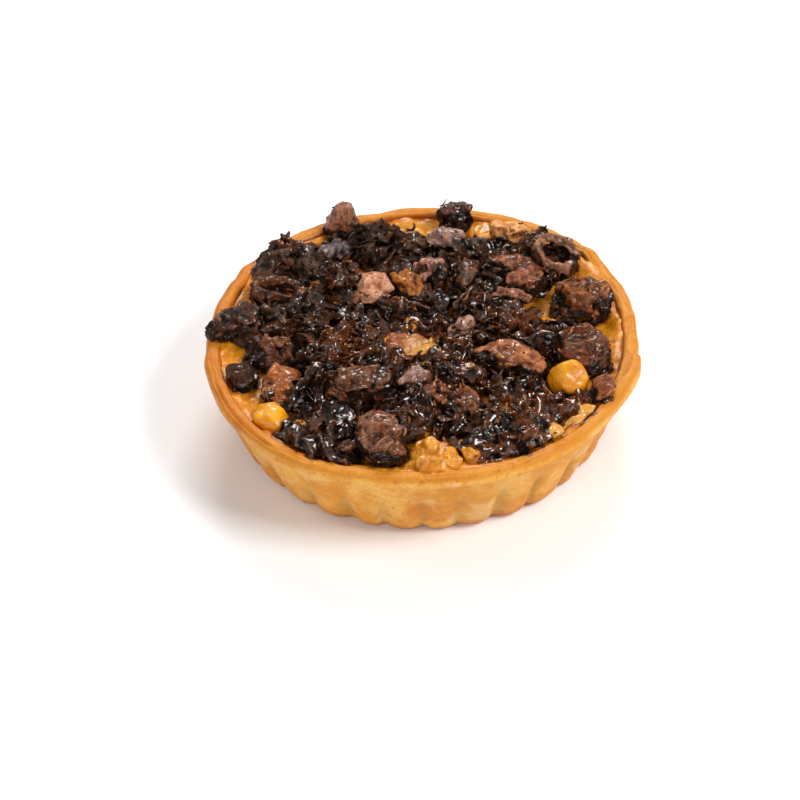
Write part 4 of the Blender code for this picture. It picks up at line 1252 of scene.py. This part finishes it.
melted = cheese_finish()
for number, node in enumerate(nodes_of("cheese_")):
    dress_cheese(node, 50.0 + 2.9 * number, melted, 0.15 if node in SMOOTH_CHEESE else 1.0)

# The onion finish, with painted shade in its crevices and hollows.
burnt = onion_finish()
draw = random.Random(7)
thick_petals = shreds(draw, *THICK_PETALS)
lumps = [crumb(7.7 * k, draw.uniform(1.0, 1.9) * MM, draw.uniform(0.5, 0.9), 2) for k in range(10)]
kinds = {name: [kind_of(mesh) for mesh in shreds(draw, *row)] for name, row in SHREDS.items()}
kinds["burnt_crumbs"] = [kind_of(crumb(5.1 * k, 0.5 * MM, 1)) for k in range(6)]

heaps, places = [], {name: [] for name in ON_HEAPS}
for number, node in enumerate(nodes_of("onion_")):
    heap = dress_heap(node, 80.0 + 4.1 * number, burnt, draw, thick_petals, lumps)
    heaps.append(heap.mesh)
    footprints.append(heap.points[::24, :2])
    area = area_of(heap.mesh, 0.1)
    for name, (density, lowest, *lie) in ON_HEAPS.items():
        count = round(area * density)
        places[name] += strewn(heap.mesh, count, draw, *lie, lowest, 1.1, len(kinds[name]))
for mesh, level in skirts:
    for name, (most, highest, *lie) in ROUND_SAUSAGE.items():
        low = strewn(mesh, SKIRT_TRIES, draw, *lie, -0.3, highest, len(kinds[name]))
        places[name] += [place for place in low if place[1].translation.z < level][:most]
flakes, flake_places = kinds["onion_bits"] + kinds["slivers"], []
for (mesh, _), name in zip(skirts, sorted(SAUSAGE)):
    count = round(area_of(mesh) * (FLESH_FLAKES + GRAINY_FLAKES * SAUSAGE[name][GRAINS]))
    flake_places += flaked(mesh, count, draw, len(flakes))
for mesh in heaps:
    flake_places += flaked(mesh, round(area_of(mesh) * ONION_FLAKES), draw, len(flakes))
scattered("browned_flakes", flakes, flake_places, browned_finish())
for name in ON_HEAPS:
    scattered(name, kinds[name], places[name], burnt)

topped = tree_of(np.pad(np.concatenate(footprints), ((0, 0), (0, 1))))
shape_custard(topped)
shape_crust(topped)


# ---- the studio

LAMP_AIM = Vector((0, 0, 0.02))
CAMERA_AIM = Vector((0, 0, 0.0134))
CAMERA_ELEVATION = math.radians(40)
CAMERA_DISTANCE = 0.6
LENS = 97.2
SHIFT_X, SHIFT_Y = -22.6 / 800, -30.4 / 800


def lamp(name, power, size, place):
    light = bpy.data.lights.new(name, "AREA")
    light.energy = power
    light.color = (1.0, 0.98, 0.955)
    light.size = size
    stand = stood(name, light)
    stand.location = place
    stand.rotation_euler = (LAMP_AIM - Vector(place)).to_track_quat("-Z", "Y").to_euler()


def studio():
    shape = bmesh.new()
    bmesh.ops.create_grid(shape, x_segments=1, y_segments=1, size=3.0)
    floor = stood("floor", meshed("floor", shape))
    paper = Finish("pale_paper", Roughness=0.9)
    paper.colour = paper.mix((246, 249, 253), (249, 251, 254), paper.cloud(60))
    floor.data.materials.append(paper.done())
    floor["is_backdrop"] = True

    lamp("right_lamp", 10.5, 0.45, (0.75, -0.25, 0.85))
    lamp("front_lamp", 4.4, 0.8, (-0.5, -0.9, 0.6))
    lamp("back_lamp", 9.0, 0.5, (0.0, 0.85, 0.75))
    lamp("left_lamp", 1.4, 0.4, (-0.85, 0.2, 0.7))
    sky = bpy.data.worlds.new("studio")
    sky.use_nodes = True
    glow = sky.node_tree.nodes["Background"].inputs
    glow["Color"].default_value = (1, 0.985, 0.97, 1)
    glow["Strength"].default_value = 0.27
    bpy.context.scene.world = sky
    bpy.context.scene.view_settings.view_transform = "Standard"


def camera():
    lens = bpy.data.cameras.new("camera")
    lens.lens = LENS
    lens.sensor_width = 36
    lens.shift_x, lens.shift_y = SHIFT_X, SHIFT_Y
    stand = stood("camera", lens)
    away = Vector((0, -math.cos(CAMERA_ELEVATION), math.sin(CAMERA_ELEVATION)))
    stand.location = CAMERA_AIM + CAMERA_DISTANCE * away
    stand.rotation_euler = (math.pi / 2 - CAMERA_ELEVATION, 0, 0)
    bpy.context.scene.camera = stand


studio()
camera()

low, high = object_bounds()
